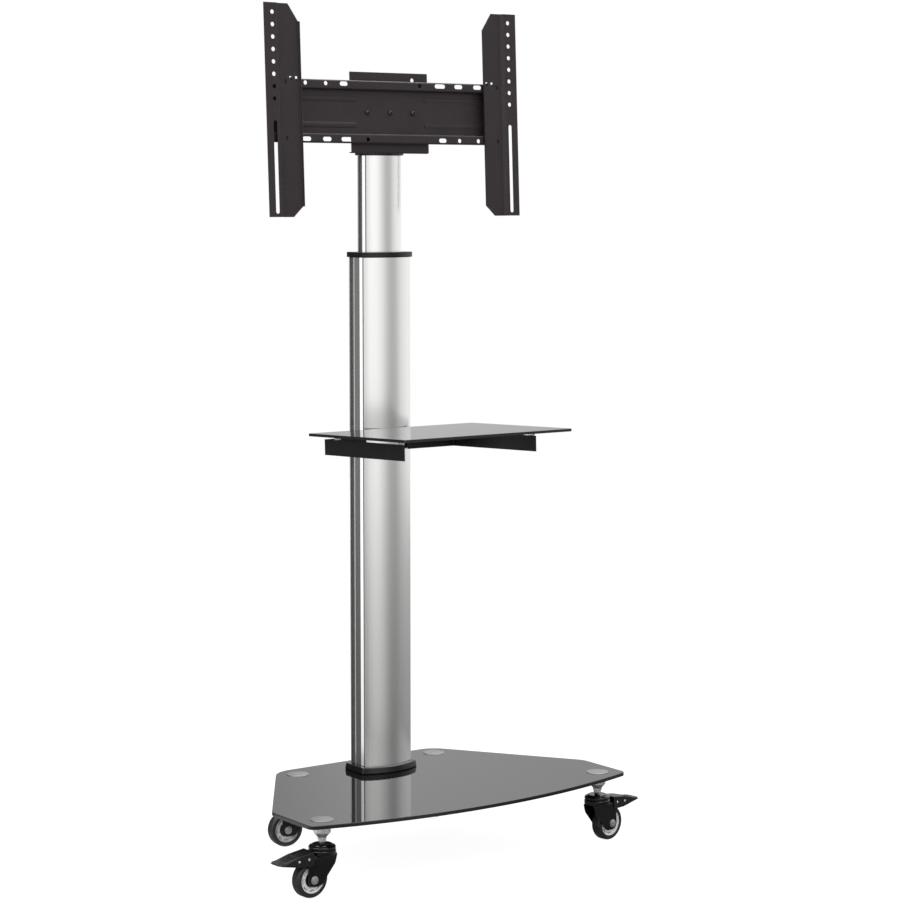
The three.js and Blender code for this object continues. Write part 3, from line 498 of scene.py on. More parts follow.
groove = [
    (wheel_radius, tread_groove + tread_mouth), (wheel_radius - tread_depth, tread_groove + tread_floor),
    (wheel_radius - tread_depth, tread_groove - tread_floor), (wheel_radius, tread_groove - tread_mouth),
]
tyre_profile = [(tyre_inner, -tyre_half), (wheel_radius, -tyre_half)]
tyre_profile += [(radius, -across) for radius, across in groove] + groove[::-1]
tyre_profile += [(wheel_radius, tyre_half), (tyre_inner, tyre_half)]
tyre_radii = [0.8, tyre_shoulder] + [0] * 8 + [tyre_shoulder, 0.8]
wheel_axis = moved(trail, 0, wheel_radius) @ Matrix.Rotation(math.pi / 2, 4, "X")
tyre_pattern = smooth(place(turned("tyre_pattern", rounded(tyre_profile, tyre_radii, 7), 72), wheel_axis), 25)

rim_half = [
    (rim_inner, 6.4), (rim_inner + 0.8, 8.2), (20.6, 8.7), (22.2, 8.0), (24.4, 8.0), (25.2, 9.6),
    (rim_outer, 10.5),
]
rim_profile = rim_half + [(radius, -across) for radius, across in rim_half[::-1]]
rim_pattern = turned("rim_pattern", rim_profile, 72)
rim_slots = []
for slot_number in range(slot_count):
    middle_turn = math.tau * slot_number / slot_count
    turns = [middle_turn + slot_half_turn * (2 * s / slot_steps - 1) for s in range(slot_steps + 1)]
    arc = [(slot_outer * math.cos(t), slot_outer * math.sin(t)) for t in turns]
    arc += [(slot_inner * math.cos(t), slot_inner * math.sin(t)) for t in turns[::-1]]
    rim_slots.append(plate("slot", arc, -tyre_half, tyre_half))
cut(rim_pattern, *rim_slots)
smooth(place(rim_pattern, wheel_axis), 30)

hub_half = [(wheel_bore, 12), (8.6, 12), (9.4, 11.2), (11, 6.6), (hub_outer - 0.8, 5.4), (hub_outer, 4.6)]
hub_profile = hub_half + [(radius, -across) for radius, across in hub_half[::-1]]
hub_pattern = smooth(place(turned("hub_pattern", hub_profile, 48), wheel_axis), 30)
repeated(
    caster_spots,
    (tyre_pattern, rubber, "caster_tyre_moulded", "wheel_{}", "tyre_rubber", "caster_tyre"),
    (rim_pattern, rim_grey, "caster_rim_slotted", "wheel_{}", "zinc", "caster_rim"),
    (hub_pattern, gloss_black, "caster_hub", "wheel_{}", "black_plastic"))

# Axle bolts
# Zinc-plated hexagon bolts with a domed face, with a washer under the head, and a nut of the same
# shape on the far side of the fork.
axle_radius = 4
axle_face = 16.8
axle_end = 20.8
axle_head = 8
washer_radius = 8.6
washer_top = 17.5
axle_setback = 1
head_overlap = 0.3
dome_profile = [
    (0, 14), (20, 14), (20, 18.6), (axle_head, 19.4), (6.2, 20.4), (3, axle_end), (0, axle_end)]

bolt_grey = new_finish("bolt_grey", (0.36, 0.36, 0.355), 0.42, metallic=0.5)
tint(bolt_grey, 260, (0.32, 0.32, 0.315), (0.40, 0.40, 0.395))
emboss(bolt_grey, 700, 0.01)

axle_pattern = rod(0, 0, axle_radius, axle_setback - axle_end, axle_end - axle_setback)
for hand in (-1, 1):
    levels = sorted((hand * (washer_top - head_overlap), hand * axle_end))
    head = rod(0, 0, axle_head, *levels, sides=6)
    dome = place(turned("dome", dome_profile), Matrix.Rotation(math.pi * (hand < 0), 4, "X"))
    shaped(head, dome, "INTERSECT")
    levels = sorted((hand * axle_face, hand * washer_top))
    welded(axle_pattern, head, rod(0, 0, washer_radius, *levels, sides=32))
soften(place(axle_pattern, wheel_axis), 0.25)
repeated(caster_spots, (axle_pattern, bolt_grey, "caster_axle_bolt", "caster_{}", "zinc", "caster_axle"))

# Brake pedals
# Foot levers on the two front casters, moulded in black plastic: a sloped tread with grooves over two
# cheeks that swing on a pin through the fork. The pins are zinc-plated and riveted over.
pedal_half = 18.8
cheek_inner = 16.8
pedal_path = [(32, 93), (70, 88), (100, 80), (117, 78.5)]
pedal_sheet = 3
pedal_plan = (30, 115.5, -18.8, 18.8)
pedal_plan_radii = [3, 9, 9, 3]
pedal_plan_heights = (70, 105)
pin_proud = 0.5
cheek_outline = [
    (34, 68), (66, 69), (108, 77.6), (114, 79), (100, 81.5), (70.3, 89.5), (32.3, 94.5)]
cheek_radii = [6, 6, 2, 0, 0, 0, 0]
tread_lines = [76, 80, 84, 88, 92, 96]
tread_start = (70, 91.1)
tread_slope = -8 / 30
groove_radius = 1.1
groove_half = 13
pin_radius = 2.6
tie_place = (68.7, 81)


def rectangle(left, right, low, high):
    return [(left, low), (right, low), (right, high), (left, high)]


pedal_black = new_finish("pedal_black", (0.007, 0.007, 0.007), 0.34, specular=0.4)
tint(pedal_black, 420, (0.004, 0.004, 0.004), (0.035, 0.035, 0.035), 0.5, 0.8)
vary(pedal_black, 90, 0.24, 0.44)
emboss(pedal_black, 420, 0.25)

pedal_pattern = plate("pedal_pattern", bent(pedal_path, pedal_sheet, 3), -pedal_half, pedal_half, "Y")
plan = plate("plan", rounded(rectangle(*pedal_plan), pedal_plan_radii, 8), *pedal_plan_heights)
shaped(pedal_pattern, plan, "INTERSECT")
for hand in (-1, 1):
    faces = sorted((hand * cheek_inner, hand * pedal_half))
    welded(pedal_pattern, plate("cheek", rounded(cheek_outline, cheek_radii), *faces, "Y"))
tread_cuts = []
for x in tread_lines:
    z = tread_start[1] + (x - tread_start[0]) * tread_slope
    tread_cuts.append(rod(x, z, groove_radius, -groove_half, groove_half, "Y", 8))
cut(pedal_pattern, *tread_cuts)
soften(pedal_pattern, 0.5)
pin_reach = pedal_half + pin_proud
pins = [rod(x, z, pin_radius, -pin_reach, pin_reach, "Y", 20) for x, z in (pin_place, tie_place)]
only(*pins)
bpy.ops.object.join()
repeated(
    {corner: caster_spots[corner] for corner in ("front_left", "front_right")},
    (pedal_pattern, pedal_black, "brake_pedal_moulded", "pedal_{}", "black_plastic", "brake_pedal"),
    (soften(pins[0], 0.6), zinc, "brake_pins", "pedal_{}", "zinc"))

# Column foot
# A cast foot with a flange and a spigot inside the column, on a rubber gasket. Four socket screws
# come up through a pressure plate below the glass, all of it painted black but for the screws.
foot_plate_bottom = 140.7
foot_plate_top = 144.7
foot_plate_plan = (-75, 75, -46, 46)
foot_plate_radius = 10
screw_head_radius = 7
screw_head_bottom = 135.4
screw_head_top = 140.4
screw_radius = 4
screw_end = 182
socket_radius = 3.4
socket_depth = 3
screw_radii = [0, 1, 0, 0, 0.8, 0]


def finish_node(name, finish):
    """Gives a solid of the frame its finish."""
    slot_of_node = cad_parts[name].material_slots[0]
    slot_of_node.link, slot_of_node.material = "OBJECT", finish


powder_black = new_finish("powder_black", (0.0225, 0.0160, 0.0172), 0.46, specular=0.35)
tint(powder_black, 30, (0.0209, 0.0147, 0.0159), (0.0241, 0.0173, 0.0185))
vary(powder_black, 12, 0.42, 0.5)
emboss(powder_black, 420, 0.03)

column_y = 152.5
at_column = moved(0, column_y, 0)
foot_plate_piece = plate(
    "foot_pressure_plate", rounded(rectangle(*foot_plate_plan), foot_plate_radius),
    foot_plate_bottom, foot_plate_top)
place(foot_plate_piece, at_column)
cut(foot_plate_piece, *[
    rod(x, y, foot_bolt_hole, foot_plate_bottom - overrun, foot_plate_top + overrun)
    for x, y in foot_bolt_places])
soften(foot_plate_piece, 0.5)
dressed(foot_plate_piece, powder_black, "base", "black_steel", "foot_plate")

screw_pattern = turned("screw_pattern", rounded([
    (0, screw_head_bottom), (screw_head_radius, screw_head_bottom), (screw_head_radius, screw_head_top),
    (screw_radius, screw_head_top), (screw_radius, screw_end), (0, screw_end),
], screw_radii, 4), 32)
cut(screw_pattern, rod(
    0, 0, socket_radius, screw_head_bottom - overrun, screw_head_bottom + socket_depth, sides=6))
smooth(screw_pattern, 30)
screw_spots = {number: moved(x, y, 0) for number, (x, y) in enumerate(foot_bolt_places, 1)}
repeated(screw_spots, (screw_pattern, zinc, "foot_screw", "base", "zinc", "foot_bolt"))
finish_node("column_foot", powder_black)
finish_node("foot_gasket", rubber)

# Base collar
# A glossy black moulded ring that hides the column's foot. It is wider at the glass, and its top edge
# is rounded over towards the column.
lower_section = (120, 55.4, 15.3)
collar_bottom = 153.3
collar_height = 14
collar_flare = 12
collar_lip = 10
collar_gap = 0.6
collar_edge = 2.2


def envelope(section, distance, steps=36):
    """A plain outline that follows the column's section at a distance."""
    width, side, bulge = section
    front = bulged(width / 2 + distance, -(side + distance) / 2, bulge + distance / 2, steps)
    return front + [(-x, -y) for x, y in front]


collar = plate(
    "base_collar_ring", envelope(lower_section, collar_flare), collar_bottom, collar_bottom + collar_height)
only(collar)
bpy.ops.object.mode_set(mode="EDIT")
bpy.ops.mesh.select_mode(type="FACE")
bpy.ops.mesh.select_all(action="DESELECT")
bpy.ops.object.mode_set(mode="OBJECT")
for face in collar.data.polygons:
    face.select = face.normal.z > 0.9
half_width = lower_section[0] / 2
half_depth = lower_section[1] / 2 + lower_section[2]
narrowing = (
    (half_width + collar_lip) / (half_width + collar_flare),
    (half_depth + collar_lip) / (half_depth + collar_flare), 1)
bpy.ops.object.mode_set(mode="EDIT")
bpy.ops.transform.resize(value=narrowing)
bpy.ops.object.mode_set(mode="OBJECT")
cut(collar, plate(
    "bore", envelope(lower_section, collar_gap), collar_bottom - overrun,
    collar_bottom + collar_height + overrun))
place(collar, at_column)
soften(collar, collar_edge, 4, 50, 65)
dressed(collar, gloss_black, "base", "black_plastic", "base_collar")

# Lower column
# An extruded aluminium tube, satin anodised, with bulged front and rear faces. Each corner has a thin
# lip, a groove and a bevel beside it, and a fine V seam runs up each side. It stands on the foot.
lip = 2
groove_width = 6.2
groove_depth = 2.5
bevel_width = 7.2
seam_centre = 8
seam_half = 2
seam_depth = 0.45
wall = 2.5
lower_bottom = 160.9
lower_top = 1260.7
knob_height = 1235.7
knob_hole = 4.3
knob_drill_near, knob_drill_far = 20, 60
section_edge = 0.35
tube_edges = (section_edge, 2, 35, 12)


def column_outline(section, has_seam=False, steps=36):
    width, side, bulge = section
    w, s = width / 2, side / 2
    floor = w - groove_depth
    lip_end = s - lip
    bevel_start = lip_end - groove_width
    flat_end = bevel_start - bevel_width
    seam = [(w, seam_centre - seam_half), (w - seam_depth, seam_centre), (w, seam_centre + seam_half)]
    right = [(w, -lip_end), (floor, -lip_end), (floor, -bevel_start), (w, -flat_end)]
    right += seam if has_seam else []
    right += [(w, flat_end), (floor, bevel_start), (floor, lip_end), (w, lip_end)]
    front = bulged(w, -s, bulge, steps)
    return front + right + [(-x, -y) for x, y in front] + [(-x, y) for x, y in right[::-1]]


def column_bore(section, clearance=0, steps=36):
    """The bore of a section, or a plug that fits it with a clearance."""
    width, side, bulge = section
    w = width / 2
    outer = (w ** 2 + bulge ** 2) / (2 * bulge)
    radius = outer - wall - clearance
    half_bore = w - groove_depth - wall - clearance
    rise = math.sqrt(radius ** 2 - half_bore ** 2)
    front = bulged(half_bore, outer - bulge - side / 2 - rise, radius - rise, steps)
    return front + [(-x, -y) for x, y in front]


def paint_groove_shade(tube, section):
    """Paints shade into each groove: its floor and its lip side get a darker, duller finish that stands in
    for the shade that falls in the groove.
    """
    width, side, bulge = section
    lip_end = side / 2 - lip
    tube.data.materials.append(painted_groove_shade)
    for face in tube.data.polygons:
        across, along = abs(face.center.x) / mm, abs(face.center.y / mm - column_y)
        depth = width / 2 - across
        in_groove = lip_end - groove_width < along < lip_end + section_edge
        if in_groove and section_edge < depth < groove_depth + section_edge:
            face.material_index = 1


aluminium = new_finish("aluminium", (0.82, 0.82, 0.81), 0.22, metallic=1)
tint(aluminium, 60, (0.81, 0.81, 0.80), (0.835, 0.835, 0.825), stretch=(1, 1, 0.02))
vary(aluminium, 200, 0.20, 0.24, (1, 1, 0.01))
emboss(aluminium, 900, 0.0008, (1, 1, 0.012))

lower_tube = plate("lower_column_tube", column_outline(lower_section, True), lower_bottom, lower_top)
cut(lower_tube, plate("bore", column_bore(lower_section), lower_bottom - overrun, lower_top + overrun))
# Painted shade: a dark grey finish for the groove faces, in place of the shade inside the grooves.
painted_groove_shade = new_finish("painted_groove_shade", (0.16, 0.16, 0.16), 0.4, metallic=0.7)
vary(painted_groove_shade, 200, 0.36, 0.44, (1, 1, 0.01))
cut(lower_tube, rod(0, knob_height, knob_hole, knob_drill_near, knob_drill_far, "Y"))
place(lower_tube, at_column)
soften(lower_tube, *tube_edges)
dressed(lower_tube, aluminium, "base", "aluminium", "lower_column")
paint_groove_shade(lower_tube, lower_section)

# Column collar
# A black moulded bush that closes the lower tube and guides the upper one. Its rim stands a little
# proud of the tube all round, and its sleeve goes down inside.
upper_section = (89.6, 33.4, 11.4)
rim_bottom = 1261
rim_top = 1272.1
rim_overhang = 4.2
sleeve_bottom = 1216
guide_gap = 0.6

bush = plate("column_collar_bush", envelope(lower_section, rim_overhang), rim_bottom, rim_top)
welded(bush, plate("sleeve", column_bore(lower_section, guide_gap), sleeve_bottom, rim_bottom + overrun))
cut(bush, plate("bore", envelope(upper_section, guide_gap), sleeve_bottom - overrun, rim_top + overrun))
cut(bush, rod(0, knob_height, knob_hole, 0, knob_drill_far, "Y"))
place(bush, at_column)
soften(bush, 0.9, 3, 50, 65)
dressed(bush, gloss_black, "base", "black_plastic", "column_collar")

# Upper column
# The same extrusion in a smaller size, without the seam. It slides in the bush, on a moulded shoe
# that stays inside the lower tube.
upper_bottom = 942.1
upper_top = 1475.4

upper_tube = plate("upper_column_tube", column_outline(upper_section), upper_bottom, upper_top)
cut(upper_tube, plate("bore", column_bore(upper_section), upper_bottom - overrun, upper_top + overrun))
place(upper_tube, at_column)
soften(upper_tube, *tube_edges)
dressed(upper_tube, aluminium, "mast", "aluminium", "upper_column")
paint_groove_shade(upper_tube, upper_section)
finish_node("upper_glide", gloss_black)

# Column cap
# A black moulded cap pressed into the upper tube, with a thin brim that overhangs it all round.
cap_bottom = 1475.7
cap_top = 1480.7
cap_overhang = 4.8
cap_plug_bottom = 1450.4

cap = plate("column_cap_moulded", envelope(upper_section, cap_overhang), cap_bottom, cap_top)
welded(cap, plate("plug", column_bore(upper_section, guide_gap), cap_plug_bottom, cap_bottom + overrun))
place(cap, at_column)
soften(cap, 1.2, 3, 50, 65)
dressed(cap, gloss_black, "mast", "black_plastic", "column_cap")

# Height knob
# A lobed black knob moulded on a steel stud. It screws through the rear wall of the lower tube and
# presses on the upper one.
grip_near = 49.3
grip_far = 65.3
grip_radius = 17
grip_lobes = 6
grip_lobe_depth = 2
grip_steps = 72
neck_near = 43.3
neck_radius = 9
stud_near = 28.4
knob_stud_radius = 4
dimple_profile = [(0, 60), (9, 60), (10.5, 70), (0, 70)]
dimple_shift = 3.5

grip_outline = []
for step in range(grip_steps):
    turn = math.tau * step / grip_steps
    radius = grip_radius - grip_lobe_depth * (1 - math.cos(grip_lobes * turn)) / 2
    grip_outline.append((radius * math.cos(turn), radius * math.sin(turn)))
knob = plate("height_knob_moulded", grip_outline, grip_near, grip_far, "Y")
dimple = turned("dimple", dimple_profile, 32)
cut(knob, place(dimple, moved(0, dimple_shift, 0) @ Matrix.Rotation(-math.pi / 2, 4, "X")))
welded(
    knob, rod(0, 0, neck_radius, neck_near, grip_near + overrun, "Y", 32),
    rod(0, 0, knob_stud_radius, stud_near, neck_near + overrun, "Y"))
soften(knob, 1, 3)
place(knob, at_column @ moved(0, 0, knob_height))
dressed(knob, gloss_black, "knob", "black_plastic", "height_knob")

# Head bracket
# A welded steel head, powder coated black: a foot on the cap, two cheeks and a leaning back plate that
# the centre plate is bolted to. The whole bracket leans back a little.
lean = moved(0, 113.3, 1563.9) @ Matrix.Rotation(math.radians(-2.5), 4, "X")
bar_bolt_places = (-58, 0, 58)
bar_bolt_hole = 3.4
head_floor = 1481
head_sheet = 3
head_foot = (-42, 42, -27, 27)
back_near, back_far = 2.3, 5.3
back_half_width = 75
back_bottom, back_top = -66, 30
cheek_middle = 30
cheek_depth = 44
back_corner, foot_corner = 8, 5
weld_inset = 1

back_plate = plate(
    "head_bracket_welded",
    rounded(rectangle(-back_half_width, back_half_width, back_bottom, back_top), back_corner),
    back_near, back_far, "Y")
place(back_plate, lean)
foot = plate("foot", rounded(rectangle(*head_foot), foot_corner), head_floor, head_floor + head_sheet)
welded(back_plate, place(foot, at_column))
foot_front = column_y + head_foot[2]
cheek_floor = head_floor + weld_inset
cheek_corners = [(foot_front + weld_inset, cheek_floor), (foot_front + cheek_depth, cheek_floor)]
cheek_top, cheek_root = back_top - weld_inset, back_near + weld_inset
cheek_bottom = back_bottom + weld_inset
for depth, height in ((back_far, cheek_top), (cheek_root, cheek_top), (cheek_root, cheek_bottom)):
    corner_point = lean @ Vector((0, depth * mm, height * mm))
    cheek_corners.append((corner_point.y / mm, corner_point.z / mm))
for hand in (-1, 1):
    middle = hand * cheek_middle
    welded(back_plate, plate("cheek", cheek_corners, middle - head_sheet / 2, middle + head_sheet / 2, "X"))
cut(back_plate, *[
    place(rod(x, 0, bar_bolt_hole, 0, back_far + overrun, "Y"), lean) for x in bar_bolt_places])
soften(back_plate, 0.4)
dressed(back_plate, powder_black, "mast", "black_steel", "head_bracket")

# Centre plate
# A black powder-coated plate folded back along its bottom, with one spare hole near the upper right
# corner. It sits between the head and the crossbar.
centre_half_width = 99
centre_half_height = 84.3
centre_lip = 9
bracket_sheet = 2
spare_hole = (60, 69.6)
screw_hole = 4.5
centre_drill = (-2, 9)

centre_path = [(0, centre_half_height), (0, -centre_half_height), (centre_lip, -centre_half_height)]
centre_plate = plate(
    "centre_plate_folded", bent(centre_path, bracket_sheet), -centre_half_width, centre_half_width, "X")
cut(centre_plate, rod(*spare_hole, screw_hole, *centre_drill, "Y"), *[
    rod(x, 0, bar_bolt_hole, *centre_drill, "Y") for x in bar_bolt_places])
place(centre_plate, lean)
soften(centre_plate, 0.35)
dressed(centre_plate, powder_black, "mast", "black_steel", "centre_plate")

# Crossbar
# A hat-shaped bar pressed from black powder-coated sheet: a slotted rail above and below, a recessed
# floor between them and four stiffening ribs pressed forward. Three bolts hold its middle.
bar_half_length = 300
bar_half_height = 65
bar_floor = -2.3
rail_front = -16.7
rail_back = -4.7
rail_face = 19.5
rail_hole_height = 57.3
rail_holes = (169.5, 219.5)
short_slot = (125, 20)
wide_slot = 21.6
long_slot = (120.8, 27.6)
inner_hole = 67.7
rib_height = 27
rib_half_width = 6
rib_ends = (88, 282)
rib_rise = 1.5
rib_root = 1
bar_drill = (-10, 5)


def slot(x, y, length, width, steps=10):
    """A slot with round ends that lies along the first direction."""
    reach = (length - width) / 2
    turns = [math.pi * (step / steps - 0.5) for step in range(steps + 1)]
    end = [(reach + width / 2 * math.cos(turn), width / 2 * math.sin(turn)) for turn in turns]
    return [(x + u, y + v) for u, v in end] + [(x - u, y - v) for u, v in end]


def rail_cut(corners):
    return plate("opening", corners, rail_front - overrun, rail_front + 2 * overrun, "Y")


rail_inner = bar_half_height - rail_face
bar_path = [
    (rail_back, bar_half_height), (rail_front, bar_half_height), (rail_front, rail_inner),
    (bar_floor, rail_inner), (bar_floor, -rail_inner), (rail_front, -rail_inner),
    (rail_front, -bar_half_height), (rail_back, -bar_half_height)]
crossbar = plate("crossbar_pressed", bent(bar_path, bracket_sheet), -bar_half_length, bar_half_length, "X")
for hand in (-1, 1):
    for level in (-rib_height, rib_height):
        crown = rib_half_width - 2 * rib_rise
        rib_outline = [
            (bar_floor + rib_root, level + rib_half_width), (bar_floor, level + rib_half_width),
            (bar_floor - rib_rise, level + crown), (bar_floor - rib_rise, level - crown),
            (bar_floor, level - rib_half_width), (bar_floor + rib_root, level - rib_half_width)]
        ends = sorted(hand * end for end in rib_ends)
        welded(crossbar, plate("rib", rib_outline, *ends, "X"))
openings = [rod(x, 0, bar_bolt_hole, *bar_drill, "Y") for x in bar_bolt_places]
for hand in (-1, 1):
    level = hand * rail_hole_height
    holes = [(x, -level) for x in rail_holes] + [(inner_hole, level)]
    slots = [(short_slot[0], -level, short_slot[1]), (long_slot[0], level, long_slot[1])]
    slots += [(x, level, wide_slot) for x in rail_holes]
    openings += [rail_cut(circle(hand * x, z, screw_hole)) for x, z in holes]
    openings += [rail_cut(slot(hand * x, z, length, 2 * screw_hole)) for x, z, length in slots]
cut(crossbar, *openings)
place(crossbar, lean)
soften(crossbar, 0.3)
dressed(crossbar, powder_black, "mast", "black_steel", "crossbar")

# Crossbar bolts
# Three black button-headed bolts that hold the bar and the centre plate to the head, each with a
# hexagon socket.
button_face = 2.6
button_height = 4
button_radius = 5.5
bolt_radius = 3
bolt_end = -9.3
button_socket = 2.2
button_socket_depth = 2
button_top = button_face + button_height
button_profile = [
    (0, bolt_end), (bolt_radius, bolt_end), (bolt_radius, button_face), (button_radius, button_face),
    (button_radius, button_face + 1.4), (4.9, button_face + 2.6), (3.8, button_face + 3.5),
    (2.7, button_top), (0, button_top),
]

bolt_black = new_finish("bolt_black", (0.022, 0.019, 0.019), 0.36, metallic=0.25)
tint(bolt_black, 200, (0.018, 0.016, 0.016), (0.027, 0.023, 0.023))
emboss(bolt_black, 600, 0.02)
bolt_pattern = turned("bolt_pattern", button_profile, 32)
cut(bolt_pattern, rod(
    0, 0, button_socket, button_top - button_socket_depth, button_top + overrun, sides=6))
facing = Matrix.Rotation(math.pi / 2, 4, "X")
bolt_spots = {
    number: lean @ moved(x, 0, 0) @ facing for number, x in enumerate(bar_bolt_places, 1)}
repeated(bolt_spots, (
    smooth(bolt_pattern), bolt_black, "crossbar_button_bolt", "mast", "black_steel", "crossbar_bolt"))

# Television arms
# Two long arms of black powder-coated sheet that hook over the crossbar. A raised strip has the screw
# holes and a slot, and a step leads back to a web that lies on the rails. The left mirrors the right.
arm_top = 216
arm_bottom = -217.5
hole_column = 300
arm_outer = 320.2
strip_inner = 288.5
strip_front = -25
strip_step = 6
web_front = -19
web_back = -17
web_inner = 235
web_lip = 4
top_clip = (24, 35.5)
bottom_clip = (23, 21.5)
arm_holes = [197 - 25 * number for number in range(8)]
arm_slot = (-116.2, 189)
hook_middle = 250
hook_half = 4
hook_drop = 9
hook_gap = 0.3
hook_root = 1
hook_bend = 0.5
relief = (6, 9)
relief_middle = 64.5
keeper = (270, 57.3, 6, 8)


def arm_cut(corners):
    return plate("opening", corners, strip_front - overrun, web_back + overrun, "Y")


def arm_clip(edge, size, away):
    """A corner of the web cut off at a slant, with the lip beyond it."""
    width, height = size
    low, high, side = edge - away * height, edge + away * overrun, web_inner - 2 * overrun
    return arm_cut([
        (side, low), (web_inner, low), (web_inner + width, edge), (web_inner + width, high), (side, high),
    ][::away])


def mirrored(piece, name):
    """The piece's mirror image across the middle, with its faces still outwards."""
    twin = copied(piece, name, Matrix.Scale(-1, 4, (1, 0, 0)))
    bpy.ops.object.mode_set(mode="EDIT")
    outwards()
    return twin


def window(x, z, width, height):
    return arm_cut(rectangle(x - width / 2, x + width / 2, z - height / 2, z + height / 2))


arm_path = [
    (web_inner, web_front - web_lip), (web_inner, web_front), (strip_inner - strip_step, web_front),
    (strip_inner, strip_front), (arm_outer, strip_front)]
right_arm = plate("tv_arm_pressed_right", bent(arm_path, bracket_sheet, 1), arm_bottom, arm_top)
slot_outline = [(x, z) for z, x in slot(arm_slot[0], hole_column, arm_slot[1], 2 * screw_hole)][::-1]
cut(
    right_arm, arm_clip(arm_top, top_clip, 1), arm_clip(arm_bottom, bottom_clip, -1), arm_cut(slot_outline),
    *[arm_cut(circle(hole_column, z, screw_hole)) for z in arm_holes],
    *[window(hook_middle + hand * (hook_half + relief[0] / 2), relief_middle, *relief) for hand in (-1, 1)],
    *[window(keeper[0], hand * keeper[1], keeper[2], keeper[3]) for hand in (-1, 1)])
hook_end, hook_height = rail_back + hook_gap, bar_half_height + hook_gap
hook_path = [
    (web_back - hook_root, hook_height), (hook_end, hook_height), (hook_end, bar_half_height - hook_drop)]
welded(right_arm, plate(
    "hook", bent(hook_path, bracket_sheet, hook_bend), hook_middle - hook_half, hook_middle + hook_half, "X"))
left_arm = mirrored(right_arm, "tv_arm_pressed_left")
for arm, side in ((left_arm, "left"), (right_arm, "right")):
    place(arm, lean)
    soften(arm, 0.3)
    dressed(arm, powder_black, f"{side}_arm", "black_steel", f"tv_arm_{side}")

# Shelf glass
# A plate of the same black tempered glass with rounded corners and polished edges. It rests on four
# clear pads and rises a little to the front.
rake = moved(0, 108.6, 898.4) @ Matrix.Rotation(math.radians(-2.2), 4, "X")
shelf_half_width = 212
shelf_depth = 350
shelf_glass_thickness = 6
shelf_corner = 4

shelf_corners = rectangle(-shelf_half_width, shelf_half_width, -shelf_depth, 0)
shelf_plate = plate("shelf_glass_plate", rounded(shelf_corners, shelf_corner, 10), -shelf_glass_thickness, 0)
place(shelf_plate, rake)
soften(shelf_plate, 0.9, 3)
dressed(shelf_plate, black_glass, "shelf", "black_glass", "shelf_glass")

# Shelf brackets
# Two arms of black powder-coated sheet. Each runs under the glass, crosses to the column, follows its
# side and ends in an ear behind it. A small tab hooks in front of the column's corner.
bracket_thickness = 2.5
bracket_top = -15
bracket_bottom = -48
bracket_front = -284
bracket_cross = 7.5
bracket_outer = 168.25
bracket_flange = 63
ear_near = 80.54
ear_reach = 20
tab_reach = 18.5
tab_height = 14.6
clamp_bolt_x = 73
clamp_middle = -31.5
clamp_hole = 3.4
ear_drill = 5
tab_radii = [2, 0, 0, 4]

bracket_path = [
    (bracket_outer, bracket_front), (bracket_outer, bracket_cross), (bracket_flange, bracket_cross),
    (bracket_flange, ear_near), (bracket_flange + ear_reach, ear_near)]
satin_black = new_finish("satin_black", (0.007, 0.007, 0.007), 0.4, specular=0.35)
tint(satin_black, 30, (0.006, 0.006, 0.006), (0.008, 0.008, 0.008))
vary(satin_black, 12, 0.36, 0.44)
emboss(satin_black, 420, 0.02)
right_bracket = plate(
    "shelf_bracket_bent_right", bent(bracket_path, bracket_thickness), bracket_bottom, bracket_top)
tab_corners = rectangle(
    bracket_flange - tab_reach, bracket_flange, bracket_bottom, bracket_bottom + tab_height)
welded(right_bracket, plate(
    "tab", rounded(tab_corners, tab_radii), bracket_cross - bracket_thickness, bracket_cross, "Y"))
cut(right_bracket, rod(
    clamp_bolt_x, clamp_middle, clamp_hole, ear_near - overrun, ear_near + ear_drill, "Y"))
left_bracket = mirrored(right_bracket, "shelf_bracket_bent_left")
for bracket, side in ((left_bracket, "left"), (right_bracket, "right")):
    place(bracket, rake)
    soften(bracket, 0.35)
    dressed(bracket, satin_black, "shelf", "black_steel", f"shelf_bracket_{side}")

# Shelf pads
# Clear soft buttons between the arms and the glass, held by their own tack.
pad_radius = 7
pad_bottom = -14.7
pad_top = -6.3
pad_places = {"rear": -43, "front": -270}
pad_spread = 167
pad_radii = [0, 1.2, 1.2, 0]

clear_pad = new_finish("clear_pad", (0.80, 0.83, 0.82), 0.12, ior=1.42)
clear_pad.node_tree.nodes["Principled BSDF"].inputs["Transmission Weight"].default_value = 0.75
vary(clear_pad, 160, 0.06, 0.2)
pad_pattern = turned("pad_pattern", rounded([
    (0, pad_bottom), (pad_radius, pad_bottom), (pad_radius, pad_top), (0, pad_top)], pad_radii, 4), 32)
pad_spots = {
    f"{side}_{end}": rake @ moved(hand * pad_spread, y, 0)
    for side, hand in (("left", -1), ("right", 1)) for end, y in pad_places.items()}
repeated(pad_spots, (
    smooth(pad_pattern), clear_pad, "shelf_pad_clear", "shelf", "clear_rubber", "shelf_pad"))

# Shelf clamp
# A flat bar behind the column, powder coated black, with two zinc-plated screws that draw it to the
# brackets' ears and so grip the column.
clamp_near = 89.04
clamp_thickness = 4
clamp_reach = 84
clamp_corner = 5
clamp_screw_face = 80.24
clamp_screw_radius = 3
clamp_screw_tail = 6
clamp_head_radius = 5
clamp_head_height = 5
clamp_head_edge = 1
clamp_socket = 2.5
clamp_nut_radius = 5.6
clamp_nut_levels = (1.6, 6.2)

clamp_far = clamp_near + clamp_thickness
clamp_outline = rounded(rectangle(-clamp_reach, clamp_reach, bracket_bottom, bracket_top), clamp_corner)
clamp = plate("shelf_clamp_flat", clamp_outline, clamp_near, clamp_far, "Y")
cut(clamp, *[
    rod(hand * clamp_bolt_x, clamp_middle, clamp_hole, clamp_near - overrun, clamp_far + overrun, "Y")
    for hand in (-1, 1)])
place(clamp, rake)
soften(clamp, 0.5)
dressed(clamp, satin_black, "shelf", "black_steel", "shelf_clamp_bar")

